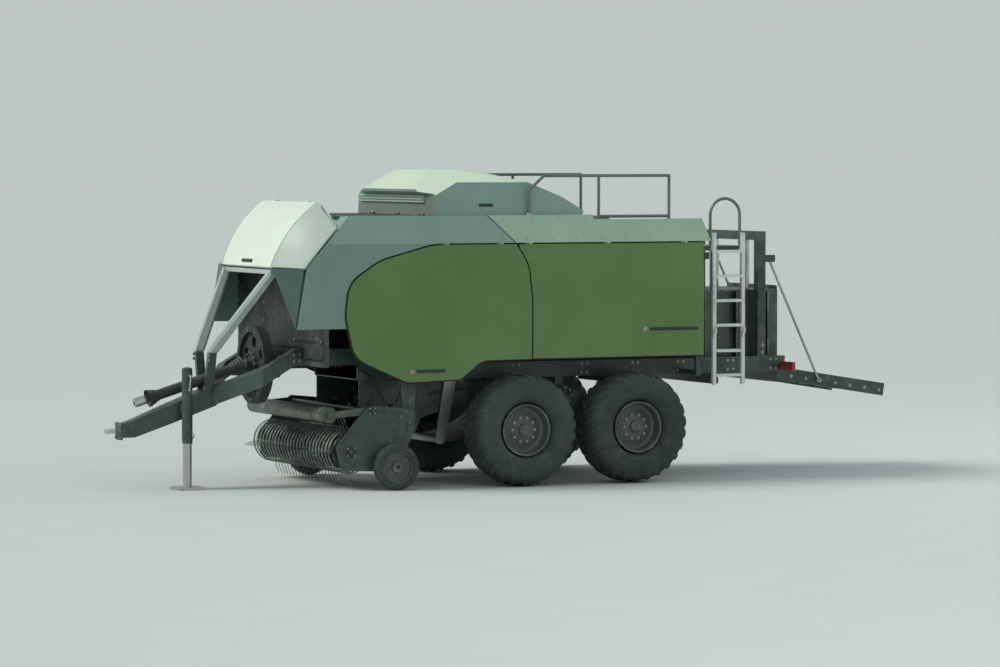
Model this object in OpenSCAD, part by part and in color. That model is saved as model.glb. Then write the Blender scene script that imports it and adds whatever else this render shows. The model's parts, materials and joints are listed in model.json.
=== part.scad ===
// Large square baler, parked on its tandem wheels and its drawbar jack.
// Millimetres. +X is the way it is towed, +Y its left side, +Z up, and Z = 0 is the ground.

/* [Frame] */
// X of the front face of the main frame
frame_front = 2600; // [2500:10:2700]
// X of the rear end of the frame and of the bale chamber
frame_rear = -3250; // [-3400:10:-3150]
// Height of the cross members' top face, which the chamber and the rails stand on
frame_top = 1165; // [1140:5:1200]
// Distance from the middle to each rail's inner face
rail_y = 700; // [690:5:730]
// Width of a frame rail
rail_w = 100; // [80:5:120]
// Height of a frame rail
rail_h = 180; // [140:5:200]
// Height of a cross member
cross_h = 120; // [100:5:140]
// Side of the square tubes that brace the body
tube_w = 60; // [50:5:70]

/* [Drawbar] */
// Distance from the frame's front face to the tip of the tow eye
hitch_out = 2050; // [1950:10:2150]
// Height of the tow eye's middle
hitch_z = 640; // [560:10:720]
// Radius of the tow eye's bore
eye_bore_r = 25; // [20:1:26]
// Outer radius of the tow eye
eye_r = 75; // [65:1:80]
// Thickness of the tow eye
eye_t = 44; // [36:1:50]
// Height of the drawbar neck's top face where the fork ends
neck_top = 1060; // [1030:5:1090]
// Depth of the drawbar neck
neck_h = 180; // [150:5:200]
// Width of the drawbar neck
neck_w = 240; // [200:10:260]
// Sideways distance of the jack from the middle
jack_y = 215; // [205:5:240]
// Outer radius of the jack's sleeve
jack_r = 58; // [50:1:64]
// Side of the jack's square foot plate
foot_w = 300; // [240:10:340]

/* [Drive line] */
// Distance from the frame's front face to the flywheel's rear face
fly_out = 250; // [230:5:280]
// Height of the flywheel's axis
fly_z = 1330; // [1320:5:1350]
// Outer radius of the flywheel
fly_r = 430; // [380:5:445]
// Thickness of the flywheel's rim
fly_t = 110; // [80:5:120]
// Drop of the drive shaft, in degrees
pto_drop = 17; // [16:0.5:18]
// Length of the drive shaft's guard
pto_l = 1180; // [1100:10:1250]
// Radius of the drive shaft's guard tube
pto_r = 62; // [55:1:70]

/* [Bale chamber] */
// Clear width of the bale chamber
ch_w = 1200; // [1190:5:1210]
// Clear height of the bale chamber
ch_h = 900; // [880:5:920]
// Thickness of the chamber's plates
plate_t = 15; // [12:1:18]
// X of the front end of the chamber's plates
chamber_front = 1950; // [1920:10:1980]
// Stroke of the plunger
plunger_stroke = 700; // [640:10:710]
// Number of needles, and of knotters
needle_n = 6; // [4:1:6]
// Distance between two needles
needle_gap = 180; // [150:5:190]
// Radius of the needles' arc about their pivot
needle_r = 1000; // [990:5:1010]
// Thickness of a needle
needle_t = 16; // [12:1:20]

/* [Feed] */
// X of the feed rotor's axis
rotor_x = 1560; // [1550:5:1570]
// Height of the feed rotor's axis
rotor_z = 800; // [790:5:810]
// Radius of the feed rotor's tines
rotor_r = 290; // [270:5:295]
// Number of tine stars on the feed rotor
rotor_stars = 9; // [7:1:10]
// X of the pickup reel's axis
reel_x = 2250; // [2240:5:2280]
// Height of the pickup reel's axis
reel_z = 420; // [410:5:440]
// Radius at the tips of the pickup's tines
reel_r = 370; // [350:5:375]
// Half width over the pickup's side plates
pickup_y = 1162; // [1150:1:1175]
// Radius of the pickup's gauge wheels
gauge_r = 250; // [230:5:270]
// Width of the pickup's gauge wheels
gauge_w = 150; // [120:5:160]
// Radius of the crop roller over the pickup
press_r = 85; // [70:5:90]

/* [Wheels] */
// Outer diameter of the tyres
tyre_d = 1240; // [1180:10:1280]
// Width of the tyres
tyre_w = 500; // [440:10:520]
// Diameter of the rims
rim_d = 570; // [540:5:600]
// Distance between the wheels' middles, left to right
track_w = 2450; // [2400:10:2500]
// X of the front axle
axle_x = 270; // [250:5:290]
// Distance between the two axles
axle_gap = 1360; // [1320:10:1400]

/* [Body panels] */
// Width over the body's side panels
body_w = 2600; // [2560:10:2640]
// Thickness of a fixed side panel
panel_t = 45; // [40:1:50]
// Thickness of a side door
door_t = 38; // [30:1:40]
// How far the doors crown outwards
door_crown = 22; // [10:1:30]
// Gap between two body panels
panel_gap = 16; // [12:1:20]
// Height of the crease between a side panel and its shoulder
crease_z = 2670; // [2650:5:2690]
// Height of the shoulders' top edge
shoulder_z = 2970; // [2950:5:2990]
// How far the shoulders lean in
shoulder_in = 120; // [80:5:140]
// Height of the hood's top edge
hood_z = 3120; // [3080:10:3160]
// Height of the knotter cowl's top
cowl_z = 3470; // [3420:10:3500]
// Thickness of the hood's and the cowl's shell
shell_t = 28; // [20:1:32]
// Height of the work platform
deck_z = 2600; // [2590:5:2610]
// Height of the railings' top tube
railing_z = 3400; // [3350:10:3420]
// Radius of the railings' tubes
railing_r = 17; // [15:1:20]

/* [Chute] */
// How far the chute's end lies behind the frame
chute_reach = 1400; // [1300:10:1450]
// Slope of the chute, in degrees
chute_slope = 9; // [6:0.5:12]
// Number of rollers on the chute
chute_rollers = 7; // [5:1:8]
// Radius of a chute roller
chute_roller_r = 38; // [30:1:42]

/* [Hidden] */
$fn = 48;
run_gap = 0.05;      // radial clearance of a running fit
seat_gap = 0.3;      // gap at a seat that turns or slides
clear = 6;           // least gap between pieces that move past each other
floor_top = frame_top + plate_t;
roof_z = floor_top + ch_h;
side_out = ch_w / 2 + plate_t;
body_y = body_w / 2;
post_y = body_y - panel_t;
hitch_tip = frame_front + hitch_out;
chute_tip = frame_rear - chute_reach;
tyre_r = tyre_d / 2;
rail_out = rail_y + rail_w;
fly_x = frame_front + fly_out;
fly_front = fly_x + fly_t;

// The outline of a front door: [x, z, fillet radius].
door_top = crease_z - panel_gap;
door_front_outline = [
    [2365, 1880, 250], [2330, 2250, 330], [1950, 2490, 500], [1330, door_top, 900],
    [345, door_top, 12], [205, 2430, 420], [165, 2060, 500], [165, 1395, 12],
    [760, 1390, 200], [1010, 1190, 200], [1640, 1165, 280], [2265, 1440, 300],
];
rear_door_front = 305;
rear_door_back = -1950;
rear_door_bottom = 1400;
door_hinge_z = crease_z - panel_gap / 2;
// The front edge of the side: [x, z] at the corner panel's foot, at its root and at its top.
front_e = [2960, 1760];
front_c = [2850, 2420];
front_d = [2440, 2850];
hood_a = [3010, 720, 2420];
hood_b = [front_d[0] + 60, 800, hood_z];
shoulder_seam = [640, 350];
shoulder_back = -640;
deck_back = -2480;

needle_px = 800;
needle_pz = 1480;
needle_rest = 26;
needle_sweep = 73;
needle_span = 72;
axle_mid = axle_x - axle_gap / 2;
cowl_front = 1215;
chute_hinge = [frame_rear - 100, 1110];
chute_half = ch_w / 2 + 20;
strut_top = [frame_rear + 130, 2450];
strut_pin = 420;
strut_r = 14;
strut_y = chute_half + 11 + strut_r;
chute_pin_r = 25;

// A box from its lowest to its highest corner.
module block(low, high) {
    translate(low) cube(high - low);
}

// A drawing in X and Z, as thick as from y0 to y1.
module along_y(y0, y1) {
    translate([0, y1, 0]) rotate([90, 0, 0]) linear_extrude(y1 - y0) children();
}

// A drawing in Y and Z, as thick as from x0 to x1.
module along_x(x0, x1) {
    translate([x0, 0, 0]) rotate([90, 0, 90]) linear_extrude(x1 - x0) children();
}

// The same piece on the left and on the right.
module both() {
    children();
    mirror([0, 1, 0]) children();
}

// A round bar from p to q.
module bar(p, q, r) {
    d = q - p;
    translate(p) rotate([0, acos(d[2] / norm(d)), atan2(d[1], d[0])]) cylinder(h = norm(d), r = r);
}

// A round bar along Y.
module bar_y(x, z, y0, y1, r) {
    translate([x, y0, z]) rotate([-90, 0, 0]) cylinder(h = y1 - y0, r = r);
}

// A round bar along X.
module bar_x(x0, x1, y, z, r) {
    translate([x0, y, z]) rotate([0, 90, 0]) cylinder(h = x1 - x0, r = r);
}

function unit(v) = v / norm(v);

// The arc that rounds the corner q between p and s.
function corner_arc(p, q, s, r, n = 5) =
    let (u = unit(p - q), v = unit(s - q), half = acos(u * v) / 2,
         c = q + unit(u + v) * r / sin(half),
         a = q + u * r / tan(half) - c, b = q + v * r / tan(half) - c,
         a0 = atan2(a[1], a[0]), turn = atan2(a[0] * b[1] - a[1] * b[0], a * b))
    [for (i = [0:n]) c + r * [cos(a0 + turn * i / n), sin(a0 + turn * i / n)]];

// An outline of [x, z, fillet radius] as points, each corner an arc.
function rounded(t) =
    [for (i = [0:len(t) - 1])
        let (m = len(t), p = t[(i + m - 1) % m], q = t[i], s = t[(i + 1) % m])
        each corner_arc([p[0], p[1]], [q[0], q[1]], [s[0], s[1]], q[2])];

// Points of an arc about c, from angle a0 to a1.
function arc(c, r, a0, a1, n = 12) =
    [for (i = [0:n]) c + r * [cos(a0 + (a1 - a0) * i / n), sin(a0 + (a1 - a0) * i / n)]];

// A ring's sector in the drawing plane.
module sector(c, r0, r1, a0, a1, n = 12) {
    polygon(concat(arc(c, r1, a0, a1, n), arc(c, r0, a1, a0, n)));
}

// A flat plate through outer corners, t thick, on the side away from the direction that the corners turn about.
module facet(pts, t) {
    n = unit(cross(pts[1] - pts[0], pts[2] - pts[0]));
    m = len(pts);
    under = [for (p = pts) p - n * t];
    fan = [for (i = [1:m - 2]) [0, i + 1, i]];
    back = [for (i = [1:m - 2]) [m, m + i, m + i + 1]];
    rim = [for (i = [0:m - 1]) each [[i, (i + 1) % m, m + (i + 1) % m], [i, m + (i + 1) % m, m + i]]];
    polyhedron(points = concat(pts, under), faces = concat(fan, back, rim));
}

// X along the side's front edge at height z, between the corner panel's root and its top.
function front_edge(z) =
    front_c[0] + (front_d[0] - front_c[0]) * (z - front_c[1]) / (front_d[1] - front_c[1]);

hanger_y = pickup_y - 32;
hanger_t = 30;
pivot_r = 30;
lug_t = 30;

rail_top = frame_top + rail_h;
// X where the rails start to step up.
step_x = chamber_front - 200;
tie_x = needle_px + 340;
cross_back = [-2400, -1500];
module main_frame() color("dimgray") {
    // The rails step up ahead of the chamber, over the pickup.
    rail = [[frame_rear, frame_top], [step_x, frame_top], [step_x + 300, rail_top], [frame_front, rail_top],
            [frame_front, rail_top + rail_h], [step_x + 200, rail_top + rail_h], [step_x - 100, rail_top],
            [frame_rear, rail_top]];
    both() {
        along_y(rail_y, rail_out) polygon(rail);
        // Tie to the chamber's side plate, clear of the needles' arms.
        block([tie_x, side_out, frame_top], [tie_x + 100, rail_y, rail_top]);
        // Outrigger and hanger that carry the pickup's pivot.
        block([rotor_x - 50, rail_out, frame_top], [rotor_x + 50, hanger_y, frame_top + 80]);
        difference() {
            along_y(hanger_y - hanger_t, hanger_y)
                polygon([[rotor_x - 90, frame_top], [rotor_x + 90, frame_top],
                         [rotor_x + 60, rotor_z - 60], [rotor_x - 60, rotor_z - 60]]);
            bar_y(rotor_x, rotor_z, hanger_y - 40, hanger_y + 10, pivot_r + run_gap);
        }
        // Cross stubs that hold the gearbox between them.
        for (x = [gear_back + 60, frame_front - 100])
            block([x, gear_y, rail_top], [x + 100, rail_y, rail_top + rail_h]);
        // Lug of the chute's hinge.
        difference() {
            block([chute_hinge[0] - 40, chute_half + 5, chute_hinge[1] - 40],
                  [frame_rear, chute_half + 5 + lug_t, frame_top]);
            bar_y(chute_hinge[0], chute_hinge[1], chute_half, chute_half + 50, chute_pin_r + run_gap);
        }
    }
    for (x = [frame_rear, cross_back[0], cross_back[1], axle_mid - 50])
        block([x, -rail_out, frame_top - cross_h], [x + 100, rail_out, frame_top]);
}

gear_back = chamber_front + 50;
gear_y = 320;

fork_end = fly_front + 520;
neck_root = hitch_tip - 2 * eye_r;
cradle_x = fork_end + 200;
module drawbar() color("dimgray") {
    z0 = neck_top - neck_h;
    half = neck_w / 2;
    beam_in = rail_y - 130;
    beam_out = rail_y - 20;
    // The fork: two beams that come down past the flywheel to the neck.
    both()
        intersection() {
            linear_extrude(2000)
                polygon([[frame_front, beam_in], [fly_front + 60, beam_in], [fork_end, 20], [fork_end, half - 5],
                         [fly_front + 120, beam_out], [frame_front, beam_out]]);
            along_y(0, rail_y)
                polygon([[frame_front, rail_top], [2700, rail_top], [fork_end, z0 + 5],
                         [fork_end, neck_top + 25], [2700, rail_top + rail_h], [frame_front, rail_top + rail_h]]);
        }
    neck = [
        [3400, z0 + 20, 5], [4330, hitch_z - 70, 80], [neck_root, hitch_z - 70, 8],
        [neck_root, hitch_z + 70, 30], [4370, hitch_z + 110, 60], [3560, neck_top, 200], [3400, neck_top + 40, 5],
    ];
    difference() {
        along_y(-half, half) polygon(rounded(neck));
        // The neck narrows towards the tow eye.
        both()
            translate([0, 0, 400])
                linear_extrude(neck_top)
                    polygon([[3900, half + 1], [hitch_tip, half + 1], [hitch_tip, half - 45],
                             [4300, half - 45]]);
    }
    // Leaning brackets that carry the feet of the nose arms.
    both()
        hull() {
            block([foot_x, half - 50, neck_top - 60], [foot_x + 100, half - 10, neck_top]);
            block([foot_x, foot_y - arm_w / 2, foot_z - 20], [foot_x + 90, foot_y + arm_w / 2, foot_z]);
        }
    // Cradle that the drive shaft's guard lies in.
    difference() {
        block([cradle_x, -45, neck_top - 80], [cradle_x + 40, 45, neck_top + 50]);
        shaft_frame() bar_x(400, 1000, 0, 0, pto_r + seat_gap);
    }
}

// Where the nose arms' feet stand above the drawbar, and the side of their square tube.
foot_x = fork_end - 40;
foot_y = 200;
foot_z = 1480;
arm_w = 60;

module tow_eye() color("gray") {
    x = hitch_tip - eye_r;
    difference() {
        union() {
            translate([x, 0, hitch_z - eye_t / 2]) cylinder(h = eye_t, r = eye_r);
            block([neck_root, -55, hitch_z - eye_t / 2], [x, 55, hitch_z + eye_t / 2]);
        }
        translate([x, 0, hitch_z - eye_t]) cylinder(h = 2 * eye_t, r = eye_bore_r);
    }
}

jack_x = fork_end + 300;
jack_leg_r = jack_r - 10;
jack_low = 500;
jack_high = 1300;

module jack_sleeve() color("dimgray") {
    difference() {
        union() {
            translate([jack_x, jack_y, jack_low]) cylinder(h = jack_high - jack_low, r = jack_r);
            block([jack_x - 50, neck_w / 2, jack_low + 330], [jack_x + 50, jack_y, jack_low + 430]);
        }
        translate([jack_x, jack_y, jack_low - 10])
            cylinder(h = jack_high - 40 - jack_low, r = jack_leg_r + run_gap);
    }
}

module jack_leg() color("silver") {
    translate([jack_x, jack_y, 30]) cylinder(h = 750, r = jack_leg_r);
    block([jack_x - foot_w / 2, jack_y - foot_w / 2, 0], [jack_x + foot_w / 2, jack_y + foot_w / 2, 30]);
}

module nose_arms() color("whitesmoke") {
    // Each arm runs from below the hood's front corner down to its bracket on the drawbar.
    top = hood_a[2] - 30;
    both()
        difference() {
            hull() {
                translate([hood_a[0] - 75, hood_a[1] - arm_w, top - arm_w]) cube([70, arm_w, arm_w]);
                translate([foot_x, foot_y - arm_w / 2, foot_z - 20]) cube([90, arm_w, arm_w]);
            }
            block([foot_x - 140, 0, foot_z - 60], [foot_x + 160, foot_y + 60, foot_z]);
        }
    block([hood_a[0] - 75, arm_w - hood_a[1], top - 50], [hood_a[0] - 15, hood_a[1] - arm_w, top]);
}

module front_bulkhead() color("dimgray") {
    low = rail_top + rail_h + 10;
    along_x(frame_front, frame_front + 20)
        polygon([[-post_y, rail_top + 80], [-rail_y, rail_top + 80], [-rail_y, low], [rail_y, low],
                 [rail_y, rail_top + 80], [post_y, rail_top + 80], [post_y, crease_z - 110],
                 [-post_y, crease_z - 110]]);
}

gear_low = frame_top + 130;
gear_top = 2010;
shaft_r = 60;
module gearbox() color("dimgray") {
    block([gear_back, -gear_y, gear_low], [frame_front, gear_y, gear_top]);
    // The input housing that the flywheel's shaft turns in.
    difference() {
        bar_x(frame_front, fly_x - clear, 0, fly_z, 90);
        bar_x(frame_front + 60, fly_x, 0, fly_z, shaft_r + run_gap);
    }
}

module flywheel() color("dimgray") {
    difference() {
        union() {
            bar_x(fly_x, fly_x + fly_t, 0, fly_z, fly_r);
            bar_x(fly_x - 120, fly_x + fly_t + 60, 0, fly_z, shaft_r);
        }
        difference() {
            bar_x(fly_x + fly_t - 40, fly_x + fly_t + 1, 0, fly_z, fly_r - 70);
            bar_x(fly_x, fly_x + fly_t + 2, 0, fly_z, 110);
        }
        for (i = [0:5])
            translate([0, 0, fly_z]) rotate([i * 60, 0, 0]) bar_x(fly_x - 1, fly_x + fly_t + 1, 0, 245, 62);
    }
}

// The drive shaft's own frame: origin at the flywheel's joint, +X along the shaft.
module shaft_frame() {
    translate([fly_x + fly_t + 70, 0, fly_z]) rotate([0, pto_drop, 0]) children();
}

module drive_guard() color("#2a2a2a") {
    shaft_frame() {
        difference() {
            union() {
                translate([30, 0, 0]) rotate([0, 90, 0]) cylinder(h = 160, r1 = 118, r2 = pto_r);
                bar_x(150, pto_l, 0, 0, pto_r);
                translate([pto_l - 130, 0, 0]) rotate([0, 90, 0]) cylinder(h = 130, r1 = pto_r, r2 = 105);
            }
            bar_x(0, pto_l + 10, 0, 0, 44 + seat_gap);
            translate([29, 0, 0]) rotate([0, 90, 0]) cylinder(h = 110, r1 = 108, r2 = 50);
            translate([pto_l - 90, 0, 0]) rotate([0, 90, 0]) cylinder(h = 91, r1 = 50, r2 = 96);
        }
    }
}

module drive_shaft() color("silver") {
    shaft_frame()
        difference() {
            union() {
                bar_x(60, pto_l + 60, 0, 0, 44);
                bar_x(pto_l + 60, pto_l + 160, 0, 0, 52);
            }
            bar_x(pto_l + 70, pto_l + 161, 0, 0, 22);
        }
}

// A hoop of the body frame: an outrigger on the rail, a post, and a beam across the top.
module hoop(x, low, top) {
    both() {
        block([x, rail_out, low], [x + tube_w, post_y - tube_w, low + tube_w]);
        block([x, post_y - tube_w, low], [x + tube_w, post_y, top]);
    }
    block([x, -post_y + tube_w, top - tube_w], [x + tube_w, post_y - tube_w, top]);
}

// Hoops of the body frame: [x, height of the outrigger].
hoops = [[frame_front - tube_w, rail_top], [960, frame_top], [rear_door_back, frame_top]];
door_room = 12;
module body_frame() color("dimgray") {
    difference() {
        for (h = hoops) hoop(h[0], h[1], deck_z - 40);
        // Room for the doors to close.
        both() block([rear_door_back - 1, post_y - door_room, 900], [2390, post_y + 5, crease_z]);
    }
    both() {
        // The rail that the shoulders stand on and the doors hang from.
        block([deck_back + 60, post_y - 100, deck_z - 40], [frame_front, post_y - door_room, deck_z]);
        // Struts from the chamber's roof to the beams.
        for (x = [hoops[1][0], hoops[2][0]])
            block([x, side_out - 45, roof_z + plate_t], [x + tube_w, side_out, deck_z - 40 - tube_w]);
    }
}

// The hood's side view: a bent line from its lower front edge to its top edge, s below the surface.
hood_low = [hood_a[0], hood_a[2]];
hood_top = [hood_b[0], hood_b[2]];
hood_bulge = 0.16;
hood_out = [hood_top[1] - hood_low[1], hood_low[0] - hood_top[0]];
hood_mid = (hood_low + hood_top) / 2 + hood_bulge * hood_out;

function hood_line(t, s) =
    (1 - t) * (1 - t) * hood_low + 2 * t * (1 - t) * hood_mid + t * t * hood_top - s * unit(hood_out);

module front_hood() color("whitesmoke") {
    steps = 10;
    intersection() {
        along_y(-900, 900)
            polygon(concat([for (i = [0:steps]) hood_line(i / steps, 0)],
                           [for (i = [steps:-1:0]) hood_line(i / steps, shell_t)]));
        along_x(2300, 3300)
            polygon([[-hood_a[1], hood_low[1] - 50], [hood_a[1], hood_low[1] - 50],
                     [hood_a[1], hood_low[1]], [hood_b[1], hood_top[1]], [hood_b[1], hood_top[1] + 50],
                     [-hood_b[1], hood_top[1] + 50], [-hood_b[1], hood_top[1]],
                     [-hood_a[1], hood_low[1]]]);
    }
    for (y = hood_hinges) {
        y0 = y + hinge_l + seat_gap;
        bar_y(hood_axis[0], hood_axis[1], y0, y + 2 * hinge_l, hood_knuckle_r);
        block([hood_axis[0], y0, hood_z - 4], [hood_b[0] + 6, y + 2 * hinge_l, hood_z + hood_knuckle_r]);
        bar_y(hood_axis[0], hood_axis[1], y, y0 + 10, 6);
    }
}

hood_axis = [front_d[0] + 15, hood_z];
hood_hinges = [-500, 460];
hood_knuckle_r = 12;
// How far the bow's flank lies inside the corner panels.
bow_in = 33.2;
// How far the bow's legs reach below its shoulders.
bow_leg = 230;
module hood_bow() color("whitesmoke") {
    y_d = body_y - shoulder_in * (front_d[1] - crease_z) / (shoulder_z - crease_z);
    flank = y_d - bow_in;
    along_x(front_d[0] - 30, front_d[0])
        polygon([[-flank, front_d[1] - bow_leg], [flank, front_d[1] - bow_leg], [flank, front_d[1] - 15],
                 [hood_b[1] - 10, hood_z - 20], [-hood_b[1] + 10, hood_z - 20],
                 [-flank, front_d[1] - 15]]);
    for (y = hood_hinges)
        difference() {
            union() {
                bar_y(hood_axis[0], hood_axis[1], y, y + hinge_l, hood_knuckle_r);
                block([front_d[0] - 15, y, hood_z - 40], [hood_axis[0], y + hinge_l, hood_z]);
            }
            bar_y(hood_axis[0], hood_axis[1], y - 1, y + hinge_l + 1, 6 + run_gap);
        }
}

// A point of the corner panel's front edge, which runs beside the hood's curved edge.
function beside_hood(t, s) =
    let (p = hood_line(t, s), k = (hood_line(t, 0)[1] - hood_low[1]) / (hood_top[1] - hood_low[1]))
    [p[0], hood_a[1] + (hood_b[1] - hood_a[1]) * k + panel_gap, p[1]];

module corner_panels() color("whitesmoke") {
    // A fan of flat facets from the hood's edge to the side, in one closed sheet.
    n = 8;
    half = n / 2;
    y_d = body_y - shoulder_in * (front_d[1] - crease_z) / (shoulder_z - crease_z);
    c = [front_c[0], body_y, front_c[1]];
    d = [front_d[0], y_d, front_d[1]];
    inward = -26 * unit(cross(c - beside_hood(0, 0), beside_hood(1, 0) - beside_hood(0, 0)));
    outer = concat([beside_hood(0, 0), c, d], [for (i = [n:-1:1]) beside_hood(i / n, 0)]);
    inner = concat([beside_hood(0, 26), c + inward, d + inward], [for (i = [n:-1:1]) beside_hood(i / n, 26)]);
    m = len(outer);
    at = [for (i = [0:n]) i == 0 ? 0 : 3 + n - i];
    skin = concat([for (i = [0:half - 1]) [at[i], 1, at[i + 1]]], [[at[half], 1, 2]],
                  [for (i = [half:n - 1]) [at[i], 2, at[i + 1]]]);
    rim = [for (i = [0:m - 1]) each [[i, (i + 1) % m, m + (i + 1) % m], [i, m + (i + 1) % m, m + i]]];
    both()
        polyhedron(points = concat(outer, inner),
                   faces = concat([for (f = skin) [f[2], f[1], f[0]]], [for (f = skin) [f[0] + m, f[1] + m, f[2] + m]],
                                  rim));
}

// How far the cheeks' top edge lies below the foot of the corner panels' face.
cheek_drop = 15.5;
module nose_cheeks() color("gainsboro") {
    both()
        facet([hood_a + [-16, panel_gap, -cheek_drop], [front_e[0] - 16, body_y - 20, front_e[1]],
               [front_c[0] - 6, body_y - 20, front_c[1] - cheek_drop]], 18);
}

// How far the side stops short of its front edge, for the corner panels.
set_back = 40;
module side_panels() color("gainsboro") {
    both()
        difference() {
            along_y(post_y, body_y)
                polygon([[front_e[0] - set_back, front_e[1]], [front_c[0] - set_back, front_c[1]],
                         [front_edge(crease_z) - set_back, crease_z], [500, crease_z], [500, 1760]]);
            along_y(post_y - 10, body_y + 10) offset(delta = panel_gap) polygon(rounded(door_front_outline));
            along_y(post_y - 10, body_y + 10) translate([-500, 1000]) square([1400, 2000]);
        }
}

flange_y = body_y - shoulder_in - 90;
// A shoulder's section between its crease and its top flange, in Y and Z.
function shoulder_section() =
    let (y1 = body_y - shoulder_in)
    [[body_y, crease_z], [y1, shoulder_z], [flange_y, shoulder_z], [flange_y, shoulder_z - 22],
     [y1 - 26, shoulder_z - 22], [body_y - 32, crease_z]];

hinge_r = 7.5;
hinge_pin_r = 4;
hinge_l = 40;
front_hinges = [500, 1150];
rear_hinges = [-1750, -800, 150];

// Fixed knuckles of a door's hinges, below the shoulder's crease on the left side.
module fixed_knuckles(xs) {
    for (x = xs)
        difference() {
            union() {
                bar_x(x, x + hinge_l, body_y, door_hinge_z, hinge_r);
                block([x, body_y - hinge_r, door_hinge_z], [x + hinge_l, body_y, crease_z]);
            }
            bar_x(x - 1, x + hinge_l + 1, body_y, door_hinge_z, hinge_pin_r + run_gap);
        }
}

// A door's own knuckles, each with the pin that turns in the fixed one.
module door_knuckles(xs) {
    for (x = xs) {
        bar_x(x + hinge_l + seat_gap, x + 2 * hinge_l, body_y, door_hinge_z, hinge_r);
        block([x + hinge_l + seat_gap, body_y - hinge_r, door_top - 20], [x + 2 * hinge_l, body_y, door_hinge_z]);
        bar_x(x, x + hinge_l + 10, body_y, door_hinge_z, hinge_pin_r);
    }
}

module front_shoulders() color("gainsboro") {
    both()
        intersection() {
            along_x(0, frame_front + 400) polygon(shoulder_section());
            along_y(0, body_y + 50)
                polygon([[shoulder_seam[1] + 8, crease_z], [front_edge(crease_z) - set_back, crease_z],
                         [front_edge(shoulder_z) - set_back, shoulder_z], [shoulder_seam[0] + 8, shoulder_z]]);
        }
    both() fixed_knuckles(front_hinges);
}

module rear_shoulders() color("gainsboro") {
    both()
        intersection() {
            along_x(deck_back, frame_front) polygon(shoulder_section());
            along_y(0, body_y + 50)
                polygon([[shoulder_seam[1] - 8, crease_z], [shoulder_seam[0] - 8, shoulder_z],
                         [shoulder_back, shoulder_z], [shoulder_back, shoulder_z - 50],
                         [-1980, shoulder_z - 50], [-2050, crease_z]]);
        }
    both() fixed_knuckles(rear_hinges);
}

cowl_base = shoulder_z + seat_gap;
// The cowl's lip [x, z] over the louvres, and the X of its crown from front to back.
cowl_lip = [cowl_front + 97, cowl_base + 258];
cowl_crown = [1050, 860, 600, 100, -300];
// Half width of its front edge and of its flat top.
cowl_brow_y = 800;
cowl_y = body_y - shoulder_in - 68;
cowl_lean = 50;
cowl_axis = [cowl_front + 15, shoulder_z + 15];
cowl_hinges = [-700, 0, 700];

module roof_deck() color("dimgray") {
    block([cowl_front - 40, -flange_y, shoulder_z - 22], [front_d[0] - 30, flange_y, shoulder_z]);
    // Beam under the deck's rear edge, between the shoulders.
    block([cowl_front - 40, -flange_y, shoulder_z - 80], [cowl_front + 20, flange_y, shoulder_z - 22]);
    // Fixed knuckles of the cowl's hinges.
    for (y = cowl_hinges)
        difference() {
            union() {
                bar_y(cowl_axis[0], cowl_axis[1], y, y + hinge_l, 11);
                block([cowl_axis[0], y, shoulder_z], [cowl_axis[0] + 11, y + hinge_l, cowl_axis[1]]);
            }
            bar_y(cowl_axis[0], cowl_axis[1], y - 1, y + hinge_l + 1, 6 + run_gap);
        }
}

// The cowl's side view: [x, z, fillet radius].
cowl_outline = [
    [cowl_front, cowl_base, 12], [cowl_front, cowl_lip[1] - 24, 12], [cowl_lip[0], cowl_lip[1], 6],
    [cowl_lip[0] - 12, cowl_lip[1] + 28, 10], [cowl_crown[0], cowl_z - 20, 150], [cowl_crown[1], cowl_z, 300],
    [cowl_crown[2], cowl_z - 20, 600], [cowl_crown[3], cowl_z - 140, 600], [cowl_crown[4], cowl_z - 300, 400],
    [shoulder_back, cowl_base, 30],
];

// The flat that cuts the cowl's front corner: three points on it, and its outward direction.
cowl_flat = [
    [cowl_lip[0], cowl_brow_y, cowl_lip[1]], [cowl_front + 10, cowl_y - 27, cowl_lip[1] - 45],
    [cowl_crown[1], cowl_y - 112, cowl_z - 70],
];
flat_out = unit(cross(cowl_flat[1] - cowl_flat[0], cowl_flat[2] - cowl_flat[0]));

module cowl_form(inset) {
    difference() {
        cowl_body(inset);
        both()
            translate(cowl_flat[0] - inset * flat_out)
                rotate([0, -asin(flat_out[2]), atan2(flat_out[1], flat_out[0])])
                    block([0, -900, -900], [600, 900, 900]);
    }
}

module cowl_body(inset) {
    intersection() {
        along_y(-cowl_y + inset, cowl_y - inset) offset(delta = -inset) polygon(rounded(cowl_outline));
        // Across: leaning sides, a sloping shoulder and a flat top.
        along_x(shoulder_back - 10, cowl_lip[0] + 10)
            polygon([[-cowl_y + inset, shoulder_z], [cowl_y - inset, shoulder_z],
                     [cowl_y - cowl_lean - inset, cowl_z - 140 - inset / 2], [cowl_brow_y, cowl_z - inset],
                     [-cowl_brow_y, cowl_z - inset], [-cowl_y + cowl_lean + inset, cowl_z - 140 - inset / 2]]);
        // From above: the lip's corners are cut back.
        translate([0, 0, shoulder_z]) linear_extrude(700) offset(delta = -inset)
            polygon([[cowl_lip[0], -cowl_brow_y], [cowl_lip[0], cowl_brow_y], [cowl_front, cowl_y - 20],
                     [cowl_front, cowl_y + 50], [shoulder_back - 20, cowl_y + 50], [shoulder_back - 20, -cowl_y - 50],
                     [cowl_front, -cowl_y - 50], [cowl_front, -cowl_y + 20]]);
    }
}

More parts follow.
